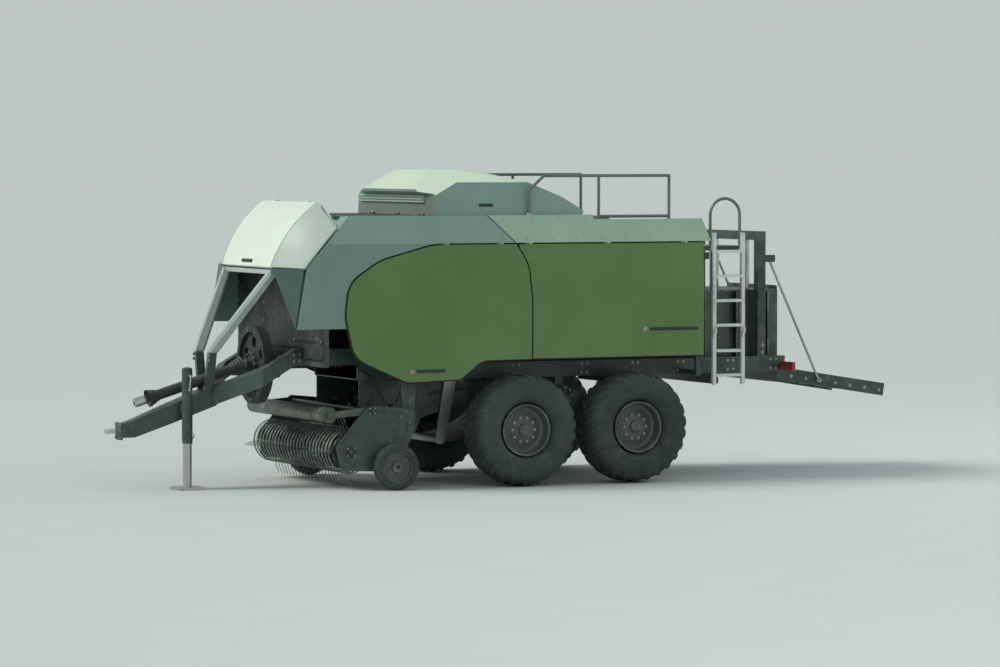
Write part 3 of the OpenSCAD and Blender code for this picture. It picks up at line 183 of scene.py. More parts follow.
def finish(name, colour, rough=0.45, metal=0.0, patch=0.12, dust=0.4, grain=60.0, bump=0.15, coat=0.0, wear=None):
    """Colour in broad patches, dust below and on top, a fine grain and worn edges."""
    w = Wiring(name)
    place = w.node("ShaderNodeTexCoord").outputs["Object"]
    broad = w.node("ShaderNodeTexNoise", Scale=1.1, Detail=4.0, Roughness=0.6)
    fine = w.node("ShaderNodeTexNoise", Scale=grain, Detail=5.0, Roughness=0.65)
    smear = w.node("ShaderNodeTexNoise", Scale=6.5, Detail=7.0, Roughness=0.7)
    for noise in (broad, fine, smear):
        w.put(place, noise.inputs["Vector"])
    faded = tuple(min(1.0, c * (1 + patch) + 0.01) for c in colour)
    deep = tuple(c * (1 - patch) for c in colour)
    base = w.blend(w.spread(broad.outputs["Fac"], 0.35, 0.65), deep, faded)
    if wear:
        around = w.node("ShaderNodeNewGeometry").outputs["Pointiness"]
        rubbed = w.times(w.spread(around, 0.53, 0.60), w.spread(smear.outputs["Fac"], 0.46, 0.6))
        base = w.blend(w.times(rubbed, 0.6), base, wear)
    if dust:
        parts = w.node("ShaderNodeSeparateXYZ")
        w.put(place, parts.inputs["Vector"])
        low = w.spread(parts.outputs["Z"], 0.1, 1.9, 1.0, 0.18)
        facing = w.node("ShaderNodeSeparateXYZ")
        w.put(w.node("ShaderNodeNewGeometry").outputs["Normal"], facing.inputs["Vector"])
        top = w.spread(facing.outputs["Z"], 0.2, 0.95, 0.35, 1.0)
        film = w.times(w.times(w.times(low, top), w.spread(smear.outputs["Fac"], 0.36, 0.68)), dust)
        base = w.blend(film, base, dust_colour)
        roughness = w.spread(film, 0.0, 0.6, rough, 0.9)
    else:
        roughness = w.spread(smear.outputs["Fac"], 0.3, 0.7, rough * 0.85, min(1.0, rough * 1.2))
    for value, name in ((base, "Base Color"), (roughness, "Roughness"), (metal, "Metallic"), (coat, "Coat Weight"),
                        (0.12, "Coat Roughness")):
        w.put(value, w.shader.inputs[name])
    relief = w.node("ShaderNodeBump", Strength=bump, Distance=0.0006)
    w.put(fine.outputs["Fac"], relief.inputs["Height"])
    w.put(relief.outputs["Normal"], w.shader.inputs["Normal"])
    return w.material

steel_bright = (0.45, 0.45, 0.43)
smooth_paint = {"patch": 0.05, "dust": 0.25, "bump": 0.05}
grille_paint = {"patch": 0.08, "dust": 0.3, "bump": 0.1}
paints = {
    "frame_grey": finish("chassis_paint", (0.020, 0.046, 0.037), 0.42, patch=0.18, dust=0.42, bump=0.2, coat=0.15,
                         wear=(0.20, 0.19, 0.17)),
    "body_white": finish("hood_white", (0.75, 0.83, 0.71), 0.28, patch=0.04, dust=0.22, bump=0.05, coat=0.45),
    "white_metal": finish("white_enamel", (0.70, 0.72, 0.69), 0.34, patch=0.05, dust=0.35, bump=0.1, coat=0.25,
                          wear=(0.30, 0.29, 0.27)),
    "body_light_grey": finish("side_grey", (0.220, 0.335, 0.285), 0.3, coat=0.4, **smooth_paint),
    "body_green": finish("door_green", (0.090, 0.190, 0.040), 0.3, patch=0.07, dust=0.3, bump=0.05, coat=0.4),
    "plate_steel": finish("worn_plate", (0.095, 0.115, 0.098), 0.42, 0.85, patch=0.25, dust=0.45, grain=140.0,
                          bump=0.25, wear=steel_bright),
    "bright_steel": finish("turned_steel", (0.52, 0.52, 0.50), 0.3, 0.95, patch=0.1, dust=0.2, grain=220.0, bump=0.15),
    "galvanised": finish("zinc_coat", (0.42, 0.45, 0.44), 0.42, 0.7, patch=0.16, dust=0.2, grain=30.0, bump=0.12),
    "black_plastic": finish("guard_black", (0.020, 0.024, 0.024), 0.55, patch=0.2, dust=0.35, grain=180.0, bump=0.3),
    "tyre_rubber": finish("tyre_black", (0.019, 0.035, 0.029), 0.72, patch=0.25, dust=0.5, grain=90.0, bump=0.5),
    "twine": finish("sisal_twine", (0.42, 0.20, 0.05), 0.8, patch=0.15, dust=0.1, grain=120.0, bump=0.5),
    "lamp_red": finish("lamp_lens", (0.32, 0.008, 0.006), 0.14, patch=0.1, dust=0.2, grain=200.0, bump=0.1, coat=0.6),
}
# Near black for the nose cheeks is painted shade: the shadow under the corner panels.
cheek_painted_shade = finish("cheek_grey_painted_shade", (0.018, 0.060, 0.046), 0.45, patch=0.06, dust=0.2, bump=0.05, coat=0.15)
# A darker copy of the side grey for the lower side panels is painted shade.
low_side_painted_shade = finish("low_side_grey_painted_shade", (0.165, 0.268, 0.222), 0.32, coat=0.35, **smooth_paint)
# A lighter copy of the side grey for the rear shoulders is a painted pool of light.
rear_shoulder_painted_light = finish("pale_side_grey_painted_light", (0.335, 0.480, 0.355), 0.32, coat=0.35, **smooth_paint)
# Dark grey for the cowl's front under its lip is painted shade: the shadow of the lip.
cowl_brow_painted_shade = finish("cowl_brow_painted_shade", (0.150, 0.195, 0.165), 0.5, **grille_paint)
louvre_grey = finish("louvre_grey", (0.33, 0.44, 0.355), 0.5, **grille_paint)
cowl_white = finish("cowl_white", (0.585, 0.69, 0.54), 0.46, coat=0.08, **smooth_paint)
# The corner panels are white sheet. This darker grey is painted shade, because they turn away from the light more than
# the hood does.
corner_painted_shade = finish("corner_painted_shade", (0.38, 0.46, 0.395), 0.5, patch=0.05, dust=0.2, bump=0.05, coat=0.1)
# The nose arms are white. This grey is painted shade under the hood, and their edges carry real wear.
arm_painted_shade = finish("arm_painted_shade", (0.38, 0.45, 0.41), 0.35, patch=0.08, dust=0.35, bump=0.1, coat=0.2,
                  wear=(0.25, 0.24, 0.22))
# Near black is the castings' own colour at wheels and bearings. On the bulkhead, gearbox and flywheel inside the nose,
# it is painted shade.
cast_black_and_painted_shade = finish("cast_black_and_painted_shade", (0.013, 0.019, 0.018), 0.62, patch=0.2, dust=0.10, grain=120.0, bump=0.3,
                    wear=(0.16, 0.15, 0.13))
band_steel = finish("band_steel", (0.055, 0.088, 0.070), 0.45, 0.3, patch=0.3, dust=0.42, grain=90.0, bump=0.2,
                    wear=(0.36, 0.38, 0.36))
rail_grey = finish("rail_grey", (0.150, 0.175, 0.160), 0.4, 0.5, patch=0.16, dust=0.25, grain=30.0, bump=0.12)
rim_paint = finish("rim_grey", (0.055, 0.072, 0.070), 0.4, patch=0.15, dust=0.55, bump=0.2, coat=0.1,
                   wear=(0.3, 0.3, 0.28))
zinc_bolts = finish("bolt_zinc", (0.36, 0.36, 0.33), 0.4, 0.8, patch=0.2, dust=0.3, grain=200.0, bump=0.1)
amber = finish("lamp_amber", (0.45, 0.14, 0.01), 0.15, patch=0.1, dust=0.2, grain=200.0, bump=0.1, coat=0.6)
floor_mesh.materials.append(finish("pale_floor", (0.60, 0.63, 0.60), 0.9, patch=0.004, dust=0.0, grain=40.0, bump=0.04))
special = {"pickup_bands": band_steel, "railings": rail_grey}
for name, node in frame["nodes"].items():
    node.data.materials.clear()
    node.data.materials.append(special.get(name) or paints.get(slot_of[name], paints["frame_grey"]))
print("finishes", len(bpy.data.materials))

# %% [markdown]
# Folded sheet and welded tube have no knife edges: every corner is a small radius that catches light.
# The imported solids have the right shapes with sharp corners. A copy of each gets its doubles merged,
# its flat triangles joined and a bevel of a few millimetres, which is quicker and safer than
# modelling each one again, and it stays exactly where the solid is.

# %% Rounded edges
sides = ((1, "left"), (-1, "right"))

def into_scene(name, mesh, material, body):
    """Puts a finished mesh into the scene as one piece that rides on a body."""
    piece = bpy.data.objects.new(name, mesh)
    bpy.context.scene.collection.objects.link(piece)
    mesh.materials.clear()
    mesh.materials.append(material)
    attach(piece, body)
    return piece

def soften(piece, width, steps=2):
    """Rounds the piece's edges with a bevel and evens its shading."""
    piece.data.shade_smooth()
    bevel = piece.modifiers.new("rounded", "BEVEL")
    bevel.width = width
    bevel.segments = steps
    bevel.limit_method = "ANGLE"
    bevel.angle_limit = math.radians(32)
    bevel.miter_outer = "MITER_ARC"
    even = piece.modifiers.new("even", "WEIGHTED_NORMAL")
    even.keep_sharp = False
    even.weight = 80
    return piece

def rounded_node(node, width, steps=2, material=None):
    """A copy of a solid with merged corners and rounded edges, in place of the node."""
    mesh = frame["nodes"][node].data.copy()
    shape = bmesh.new()
    shape.from_mesh(mesh)
    bmesh.ops.remove_doubles(shape, verts=shape.verts, dist=2e-5)
    bmesh.ops.dissolve_limit(shape, angle_limit=math.radians(0.6), verts=shape.verts, edges=shape.edges)
    shape.to_mesh(mesh)
    shape.free()
    piece = into_scene(node + "_rounded", mesh, material or paints[slot_of[node]], body_of[node])
    soften(piece, width, steps)
    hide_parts(node)
    return piece

rounded = {
    0.006: "main_frame drawbar axle_beam density_frame rockers plunger chute",
    0.004: "body_frame tow_eye jack_sleeve jack_leg roof_deck platform ladder ladder_foot twine_racks "
           "chamber_sides pickup_frame feed_housing tail_lamps hood_bow",
    0.0025: "chute_struts wind_guard needles knotters feed_rotor chamber_roof chamber_floor",
}
for width, names in rounded.items():
    for name in names.split():
        rounded_node(name, width)
for end in ("front", "rear"):
    for _, side_name in sides:
        rounded_node(f"door_{end}_{side_name}", 0.009, 3)
# The lower side panels take the darker copy of the side grey, which is painted shade.
covers = {"front_hood": None, "front_shoulders": None, "knotter_cowl": cowl_white, "side_panels": low_side_painted_shade,
          # The rear shoulders take the lighter copy of the side grey, which is painted light.
          "rear_shoulders": rear_shoulder_painted_light}
for name, paint in covers.items():
    rounded_node(name, 0.007, 3, paint)
# The white nose arms take the grey, which is painted shade under the hood.
rounded_node("nose_arms", 0.004, 2, arm_painted_shade)
# An arc at the ladder's outer corners would close one of its windows, so they stay sharp.
bpy.data.objects["ladder_rounded"].modifiers["rounded"].miter_outer = "MITER_SHARP"
# Bulkhead, gearbox and flywheel are painted near black. This is painted shade inside the nose, under the hood.
for name in ("front_bulkhead", "gearbox", "flywheel"):
    rounded_node(name, 0.004, 2, cast_black_and_painted_shade)

# %% [markdown]
# Round things, bent tubes and rows of bolts are worked out with numpy as whole grids of points.
# Three helpers make most of them: a profile turned about an axle, a round section carried along a
# path, and an outline given thickness. Each returns points and faces, which can be joined and
# repeated before they become one mesh.

# %% Grids of points
def grid_faces(rows, columns, wrap_rows=False, wrap_columns=True):
    """Four-cornered faces between neighbours in a grid of rows times columns points."""
    i, j = np.meshgrid(np.arange(rows if wrap_rows else rows - 1),
                       np.arange(columns if wrap_columns else columns - 1), indexing="ij")
    below, beside = (i + 1) % rows, (j + 1) % columns
    return np.stack([i * columns + j, i * columns + beside, below * columns + beside, below * columns + j],
                    -1).reshape(-1, 4)

closed = 1e-4    # the radius at which a turned end counts as closed

def unit(v):
    """The same directions, each with length one."""
    return v / np.linalg.norm(v, axis=-1, keepdims=True)

def circle(steps):
    """Angles once round, without the last."""
    return np.linspace(0, 2 * np.pi, steps, endpoint=False)

def ring(centre, radius, count, axis="y", start=0.0):
    """Points on a circle across an axis: centre + radius * (cos t, sin t)."""
    t = start + circle(count)
    flat = radius * np.stack([np.cos(t), np.sin(t)], -1)
    return np.insert(flat, "xyz".index(axis), 0.0, axis=1) + centre

def rod(radius, low, high):
    """The profile of a plain round bar with closed ends."""
    return [(closed, low), (radius, low), (radius, high), (closed, high)]

def turned(profile, centre, steps=64, axis="y"):
    """A closed ring of (radius, offset) points turned about an axis through centre.
    A point at angle t is centre + radius * (cos t, sin t) across the axis + offset along it."""
    profile = np.asarray(profile, float)
    t = circle(steps)
    r, h = profile[:, 0][:, None], profile[:, 1][:, None] + 0 * t
    places = {"y": (r * np.cos(t), h, r * np.sin(t)), "x": (h, r * np.cos(t), r * np.sin(t)),
              "z": (r * np.cos(t), r * np.sin(t), h)}[axis]
    return np.stack(places, -1).reshape(-1, 3) + np.asarray(centre, float), grid_faces(len(profile), steps, True)

def piped(path, radius, corners=10):
    """A round section carried along a path: each ring lies across the local direction, and the
    end rings shrink to a point, so that the ends are closed."""
    path = np.asarray(path, float)
    way = unit(np.gradient(path, axis=0))
    spare = np.array([0.31, 0.17, 0.94]) if abs(way[:, 2]).max() < 0.9 else np.array([0.17, 0.94, 0.31])
    u = unit(np.cross(way, spare))
    v = np.cross(way, u)
    t = circle(corners)
    size = np.ones(len(path) + 2) * radius
    size[[0, -1]] = closed
    keep = np.r_[0, np.arange(len(path)), len(path) - 1]
    rings = (path[keep][:, None] + size[:, None, None] * (u[keep][:, None] * np.cos(t)[:, None]
             + v[keep][:, None] * np.sin(t)[:, None]))
    return rings.reshape(-1, 3), grid_faces(len(keep), corners)[:, ::-1]

def thick(outline, low, high, axis="y"):
    """An outline in the two directions across an axis, given thickness from low to high along it.
    Returns points and a list of faces, because its two flat faces have many corners."""
    outline = np.asarray(outline, float)
    n = len(outline)
    flat = [np.insert(outline, "xyz".index(axis), level, axis=1) for level in (low, high)]
    i = np.arange(n)
    walls = np.stack([i, (i + 1) % n, (i + 1) % n + n, i + n], -1).tolist()
    return np.concatenate(flat), [list(range(n))[::-1], list(range(n, 2 * n))] + walls

def oblong(a0, a1, b0, b1):
    """The four corners of a box across an axis."""
    return [(a0, b0), (a1, b0), (a1, b1), (a0, b1)]

def slab(outer, inner):
    """Two grids of points, one behind the other, joined round their edge to a closed sheet."""
    rows, columns = outer.shape[:2]
    place = np.arange(rows * columns).reshape(rows, columns)
    flat, n = grid_faces(rows, columns, False, False), rows * columns
    edge = np.r_[place[0, :-1], place[:-1, -1], place[-1, :0:-1], place[:0:-1, 0]]
    rim = np.stack([edge, np.roll(edge, -1), np.roll(edge, -1) + n, edge + n], -1)
    points = np.concatenate([outer.reshape(-1, 3), inner.reshape(-1, 3)])
    return points, np.concatenate([flat, flat[:, ::-1] + n, rim])

def joined(parts):
    """Puts several (points, faces) together, each part's faces counting on from the last part's."""
    points, faces, start = [], [], 0
    for p, f in parts:
        points.append(p)
        faces += [[int(k) + start for k in face] for face in (f.tolist() if hasattr(f, "tolist") else f)]
        start += len(p)
    return np.concatenate(points), faces

def repeated(part, moves):
    """The same part at several places: each move is a 4 by 4 matrix."""
    points, faces = part
    moves = np.asarray(moves, float)
    spread = np.einsum("kij,pj->kpi", moves[:, :3, :3], points) + moves[:, None, :3, 3]
    faces = np.asarray(faces)
    all_faces = faces[None] + (np.arange(len(moves)) * len(points))[:, None, None]
    return spread.reshape(-1, 3), all_faces.reshape(-1, faces.shape[1])

def made(name, part, material, body="chassis", slot=None, smooth=30.0, width=0.0):
    """Makes one mesh of points and faces, turns its faces outwards and puts it on its body.
    A material given as the name of a slot takes that slot's paint. The argument slot is not used."""
    if isinstance(material, str):
        material, slot = paints[material], material
    points, faces = part
    mesh = bpy.data.meshes.new(name)
    mesh.from_pydata(np.asarray(points).tolist(), [], faces.tolist() if hasattr(faces, "tolist") else faces)
    shape = bmesh.new()
    shape.from_mesh(mesh)
    bmesh.ops.remove_doubles(shape, verts=shape.verts, dist=1e-6)
    bmesh.ops.recalc_face_normals(shape, faces=shape.faces)
    shape.to_mesh(mesh)
    shape.free()
    piece = into_scene(name, mesh, material, body)
    mesh.shade_smooth()
    if width:
        soften(piece, width)
    else:
        mesh.set_sharp_from_angle(angle=math.radians(smooth))
    print(name, len(mesh.polygons), "faces on", body)
    return piece

def on_side(part, side, offset=(0, 0, 0)):
    """A part as on the left for side 1, or its mirror image for side -1, then moved."""
    return part[0] * [1, side, 1] + np.asarray(offset, float), part[1]

def moved(part, offset):
    return on_side(part, 1, offset)

def both_sides(part, offset=(0, 0, 0)):
    return [on_side(part, side, offset) for side, _ in sides]

# %% [markdown]
# A tyre for soft ground is wide, round-shouldered and carries slanting lugs, left and right in turn.
# Its section is a rounded box: a superellipse, whose two powers set how full the shoulders are.
# Each lug is a low wall carried from the middle of the tread over the shoulder, and leans with it.
# Rim, hub cap and the ribbed brake drum behind the disc are profiles turned about the axle.

# %% Wheels
tyre_middle, tyre_deep, tyre_half = 0.4435, 0.1565, 0.2485

def tyre_section(steps=72):
    """Points (r, y) of a superellipse, with three fine rings raised on each sidewall."""
    t = circle(steps)
    y = tyre_half * np.sign(np.cos(t)) * np.abs(np.cos(t)) ** 0.6
    r = tyre_middle + tyre_deep * np.sign(np.sin(t)) * np.abs(np.sin(t)) ** 0.7
    for level in (0.36, 0.40, 0.50):
        y -= np.sign(y) * 0.003 * np.exp(-((r - level) / 0.006) ** 2) * (np.abs(y) > 0.15)
    return np.stack([r, y], -1)

def tread_height(y):
    """The carcass's outer radius at a distance y from the middle."""
    return tyre_middle + tyre_deep * (1 - np.clip(np.abs(y) / tyre_half, 0, 1) ** (2 / 0.6)) ** 0.35

def lugs(count=26):
    """One lug is a trapezium carried from y = 8 mm to the shoulder, slanting back 0.2 radians."""
    u = np.linspace(0, 1, 9)
    y = 0.008 + 0.228 * u
    wide = 0.019 + 0.012 * u
    top = np.minimum(tread_height(y) + 0.019, 0.619)
    low = tread_height(y) - 0.006
    corner = [(-1.15, 0), (-0.8, 1), (0.8, 1), (1.15, 0)]
    rings = [np.stack([np.where(k, top, low), y, 0.21 * u + side * wide / 0.6], -1) for side, k in corner]
    one = np.stack(rings, 1).reshape(-1, 3)
    faces = np.concatenate([grid_faces(9, 4), [[0, 1, 2, 3], [35, 34, 33, 32]]])
    parts = []
    for side, _ in sides:
        turn = 2 * np.pi * (np.arange(count) + (0.5 if side < 0 else 0)) / count
        angle = one[None, :, 2] + turn[:, None]
        r, y = one[None, :, 0] + 0 * angle, side * one[None, :, 1] + 0 * angle
        points = np.stack([r * np.cos(angle), y, r * np.sin(angle)], -1).reshape(-1, 3)
        parts.append((points, (faces[None] + 36 * np.arange(count)[:, None, None]).reshape(-1, 4)))
    return joined(parts)

rim_profile = [
    (0.2845, -0.19), (0.2845, 0.19), (0.276, 0.19), (0.264, 0.180), (0.257, 0.158), (0.257, 0.098),
    (0.247, 0.074), (0.215, 0.062), (0.175, 0.068), (0.15, 0.082), (0.115, 0.088), (0.0505, 0.088),
    (0.0505, 0.050), (0.11, 0.048), (0.16, 0.040), (0.21, 0.030), (0.245, 0.036), (0.256, 0.02),
    (0.257, -0.158), (0.264, -0.180), (0.276, -0.19)]
hexagon = ring((0, 0, 0), 1.0, 6)[:, [0, 2]]

def wheel_nuts(count, radius, level, size):
    """Hexagon nuts round an axle: six-sided blocks on a circle, with a stud in each."""
    return joined([moved(thick(hexagon * size * scale, level, level + high), place)
                   for place in ring((0, 0, 0), radius, count) for scale, high in ((1.0, 0.016), (0.55, 0.026))])

hub_cap = [(closed, 0.0925), (0.085, 0.0925), (0.085, 0.098), (0.066, 0.104), (0.062, 0.128), (0.048, 0.136),
           (closed, 0.138)]
drum = [(0.0505, -0.13), (0.085, -0.136), (0.186, -0.130), (0.198, -0.126), (0.198, -0.112), (0.186, -0.106),
        (0.186, -0.092), (0.194, -0.089), (0.194, -0.081), (0.186, -0.078), (0.186, -0.064), (0.194, -0.061),
        (0.194, -0.053), (0.186, -0.050), (0.186, -0.020), (0.175, -0.004), (0.14, 0.006), (0.09, 0.028),
        (0.0505, 0.034)]

def dressed_wheel(name, parts, side=1):
    """Puts the parts of a wheel round the middle of its solid, and hides the solid."""
    centre = np.mean(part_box(name), axis=0)
    pieces = [made(f"{name}_{kind}", on_side(part, side, centre), paint, body_of[name], smooth=smooth)
              for kind, part, paint, smooth in parts]
    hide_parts(name)

wheel_parts = [("tyre", turned(tyre_section(), (0, 0, 0), 96), "tyre_rubber", 30),
               ("lugs", lugs(), "tyre_rubber", 20),
               ("rim", turned(rim_profile, (0, 0, 0), 72), rim_paint, 25),
               ("nuts", wheel_nuts(10, 0.135, 0.087, 0.015), zinc_bolts, 30),
               ("cap", turned(hub_cap, (0, 0, 0), 32), rim_paint, 30),
               ("drum", turned(drum, (0, 0, 0), 56), cast_black_and_painted_shade, 35)]
for end in ("front", "rear"):
    for side, side_name in sides:
        dressed_wheel(f"wheel_{end}_{side_name}", wheel_parts, side)

# %% [markdown]
# The small wheels beside the pickup have smooth ribbed tyres on pressed rims.
# Both are profiles turned about the stub axle, so a few points give the whole wheel.

# %% Gauge wheels
def ribbed(outer, half, bore, ribs=3):
    """A tyre's section with ribs round its tread, as a closed list of (radius, offset)."""
    across = np.linspace(-half * 0.8, half * 0.8, 25)
    tread = outer - 0.006 * (np.cos(across / half * ribs * np.pi) < -0.2) - 0.012 * (across / half) ** 4
    right = [(outer - 0.03, half * 0.97), (outer - 0.06, half), (bore + 0.01, half * 0.86), (bore, half * 0.8)]
    left = [(r, -y) for r, y in right[::-1]]
    return left + list(zip(tread, across)) + right

gauge_rim = [(0.176, -0.062), (0.176, 0.062), (0.168, 0.066), (0.160, 0.055), (0.158, 0.022), (0.12, 0.012),
             (0.07, 0.022), (0.06, 0.05), (0.0202, 0.05), (0.0202, -0.05), (0.06, -0.05), (0.07, 0.0),
             (0.12, -0.006), (0.158, 0.006), (0.160, -0.055), (0.168, -0.066)]
gauge_parts = [("tyre", turned(ribbed(0.249, 0.0745, 0.177), (0, 0, 0), 64), "tyre_rubber", 40),
               ("rim", turned(gauge_rim, (0, 0, 0), 48), rim_paint, 35)]
for _, side_name in sides:
    dressed_wheel("gauge_" + side_name, gauge_parts)

# %% [markdown]
# The pickup lifts the crop with sprung wire tines: each is wound round its bar twice, stands out
# through the gap between two bands and bends back at its tip. One tine is a wire along a path, and
# the whole reel is that wire repeated along four bars.

# %% Pickup reel
reel_x, _, reel_z = np.mean(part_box("pickup_reel"), axis=0)
reel_half = 1.102

def tine():
    """A wire whose first turns climb a coil of 22 mm about the bar and whose leg leans back by the
    square of its length."""
    t = np.linspace(0, 4 * np.pi, 17)
    coil = np.stack([0.170 + 0.021 * np.cos(t), -0.016 + 0.004 * t / np.pi, 0.021 * np.sin(t)], -1)
    u = np.linspace(0.12, 1, 6)
    leg = np.stack([0.191 + 0.176 * u, 0 * u, -0.045 * u ** 2], -1)
    return piped(np.concatenate([coil, leg]), 0.0045, 5)

tine_rows = -reel_half + (np.arange(24) + 0.5) * 2 * reel_half / 24
moves = [[[math.cos(t), 0, -math.sin(t), reel_x], [0, 1, 0, y], [math.sin(t), 0, math.cos(t), reel_z], [0, 0, 0, 1]]
         for t in circle(4) for y in tine_rows]
tines = made("reel_tines", repeated(tine(), moves), band_steel, "reel", "plate_steel")
axle = [turned(rod(0.045, -1.144, 1.144), (reel_x, 0, reel_z), 24),
        turned(rod(0.025, -1.162, 1.162), (reel_x, 0, reel_z), 20)]
disc = [(closed, -0.003), (0.19, -0.003), (0.192, 0), (0.19, 0.003), (closed, 0.003)]
axle += [turned(disc, (reel_x, y, reel_z), 40) for y in (-1.08, -0.54, 0.0, 0.54, 1.08)]
axle += [turned(rod(0.016, -1.10, 1.10), place, 14) for place in ring((reel_x, 0, reel_z), 0.17, 4)]
made("reel_bars", joined(axle), "plate_steel", "reel")
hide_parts("pickup_reel")

# %% [markdown]
# The drive shaft turns inside a fixed guard: a smooth tube with a ribbed bell at each end.
# The bells are bellows, so their wall waves as it widens. The profile is turned about the X axis at
# the origin, then tipped down by seventeen degrees and moved to the flywheel's joint.

# %% Drive line
shaft_start = np.array([3.03, 0, 1.33])
drop = math.radians(17)

def along_shaft(part):
    points, faces = part
    x, y, z = points.T
    return np.stack([x * math.cos(drop) + z * math.sin(drop), y, -x * math.sin(drop) + z * math.cos(drop)],
                    -1) + shaft_start, faces

def bell(x0, x1, r0, r1, waves=5):
    """A wall that runs from r0 to r1 and swells and shrinks by 4 mm as it goes."""
    x = np.linspace(x0, x1, waves * 6 + 1)
    u = (x - x0) / (x1 - x0)
    return list(zip(r0 + (r1 - r0) * u + 0.004 * np.sin(u * waves * 2 * np.pi) - 0.002, x))

outer = bell(0.032, 0.188, 0.112, 0.064) + [(0.060, 0.20), (0.060, 0.60), (0.057, 0.605), (0.057, 1.05)]
outer += bell(1.06, 1.178, 0.062, 0.100, 4)
inner = [(0.094, 1.178), (0.050, 1.09), (0.050, 0.14), (0.104, 0.032)]
guard = made("shaft_guard", along_shaft(turned(outer + inner, (0, 0, 0), 48, "x")), "black_plastic", smooth=50)
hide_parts("drive_guard")
sleeve = [(closed, 0.06), (0.036, 0.06), (0.036, 0.62), (0.043, 0.62), (0.043, 1.20), (0.048, 1.21), (0.0515, 1.24),
          (0.0515, 1.339), (0.022, 1.339), (0.022, 1.25), (closed, 1.25)]
shaft_parts = [along_shaft(turned(sleeve, (0, 0, 0), 28, "x"))]
for turn_by in (0, 1):
    ear = thick([(-0.012, -0.035), (0.045, -0.030), (0.075, -0.018), (0.075, 0.018), (0.045, 0.030), (-0.012, 0.035)],
                0.030, 0.043, "y" if turn_by else "z")
    for side in (-1, 1):
        points = ear[0] * ([1, side, 1] if turn_by else [1, 1, side])
        shaft_parts.append(along_shaft((points + [0.0 if turn_by else -0.045, 0, 0], ear[1])))
    shaft_parts.append(along_shaft(turned(rod(0.012, -0.046, 0.046), (0, 0, 0), 16, "yz"[turn_by])))
shaft = made("drive_shaft_turned", joined(shaft_parts), "bright_steel", "drive_shaft")
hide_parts("drive_shaft")
fly_bolts = [moved(thick(hexagon * 0.012, foot, 2.972, "x"), place) for radius, foot in ((0.385, 2.955), (0.14, 2.94))
             for place in ring((0, 0, 1.33), radius, 12, "x", 0.13)]
made("flywheel_bolts", joined(fly_bolts), zinc_bolts, "flywheel")

# %% [markdown]
# The big side doors are moulded covers hung from the shoulder. What shows that they open is small:
# a dark seal in the gap round each, a grip near the lower edge and a latch.
# The seal follows the door's outline, so the outline's corners are given here and rounded by arcs.

# %% Door seals and grips
def door_y(z):
    """The door's outer face stands out by a parabola: 22 mm at mid height, none at both ends."""
    t = (z - 1.08) / (2.654 - 1.08)
    return 1.3 + 0.022 * 4 * t * (1 - t)

def rounded_line(table, steps=6):
    """Replaces each corner (x, z, radius) of a closed outline by an arc that touches both sides."""
    table = np.asarray(table, float)
    out = []
    for i in range(len(table)):
        p, q, s, radius = table[i - 1, :2], table[i, :2], table[(i + 1) % len(table), :2], table[i, 2]
        u, v = unit(p - q), unit(s - q)
        half = math.acos(np.clip(u @ v, -1, 1)) / 2
        middle = q + unit(u + v) * radius / math.sin(half)
        first = q + u * radius / math.tan(half) - middle
        last = q + v * radius / math.tan(half) - middle
        turn = math.atan2(first[0] * last[1] - first[1] * last[0], first @ last)
        angle = math.atan2(first[1], first[0]) + turn * np.linspace(0, 1, steps)
        out.append(middle + radius * np.stack([np.cos(angle), np.sin(angle)], -1))
    return np.concatenate(out)

def rounded_box(a0, a1, b0, b1, radius):
    return rounded_line([(a, b, radius) for a, b in oblong(a0, a1, b0, b1)])

front_outline = np.array([
    [2365, 1880, 250], [2330, 2250, 330], [1950, 2490, 500], [1330, 2654, 900], [345, 2654, 12],
    [205, 2430, 420], [165, 2060, 500], [165, 1395, 12], [760, 1390, 200], [1010, 1190, 200],
    [1640, 1165, 280], [2265, 1440, 300]]) / 1000

def normals_of(line):
    """The unit directions across a line in its own plane."""
    way = unit(np.gradient(line, axis=0))
    return np.stack([-way[:, 1], way[:, 0]], -1)

def level_line(x0, x1, z, n=30):
    return np.stack([np.linspace(x0, x1, n), np.full(n, z)], -1)

def strip_along(line, reach, y_of, deep, flat):
    """A flat strip that follows an open or closed line in X and Z, reach wide, deep thick, set
    back from the doors' face."""
    across = normals_of(line)
    corners = []
    for side, back in ((-1, flat), (1, flat), (1, flat + deep), (-1, flat + deep)):
        at = line + across * side * reach / 2
        corners.append(np.stack([at[:, 0], y_of(at[:, 1]) - back, at[:, 1]], -1))
    points = np.stack(corners, 1).reshape(-1, 3)
    n = len(line)
    ends = [[0, 1, 2, 3], [4 * n - 1, 4 * n - 2, 4 * n - 3, 4 * n - 4]]
    return points, np.concatenate([grid_faces(n, 4), ends])

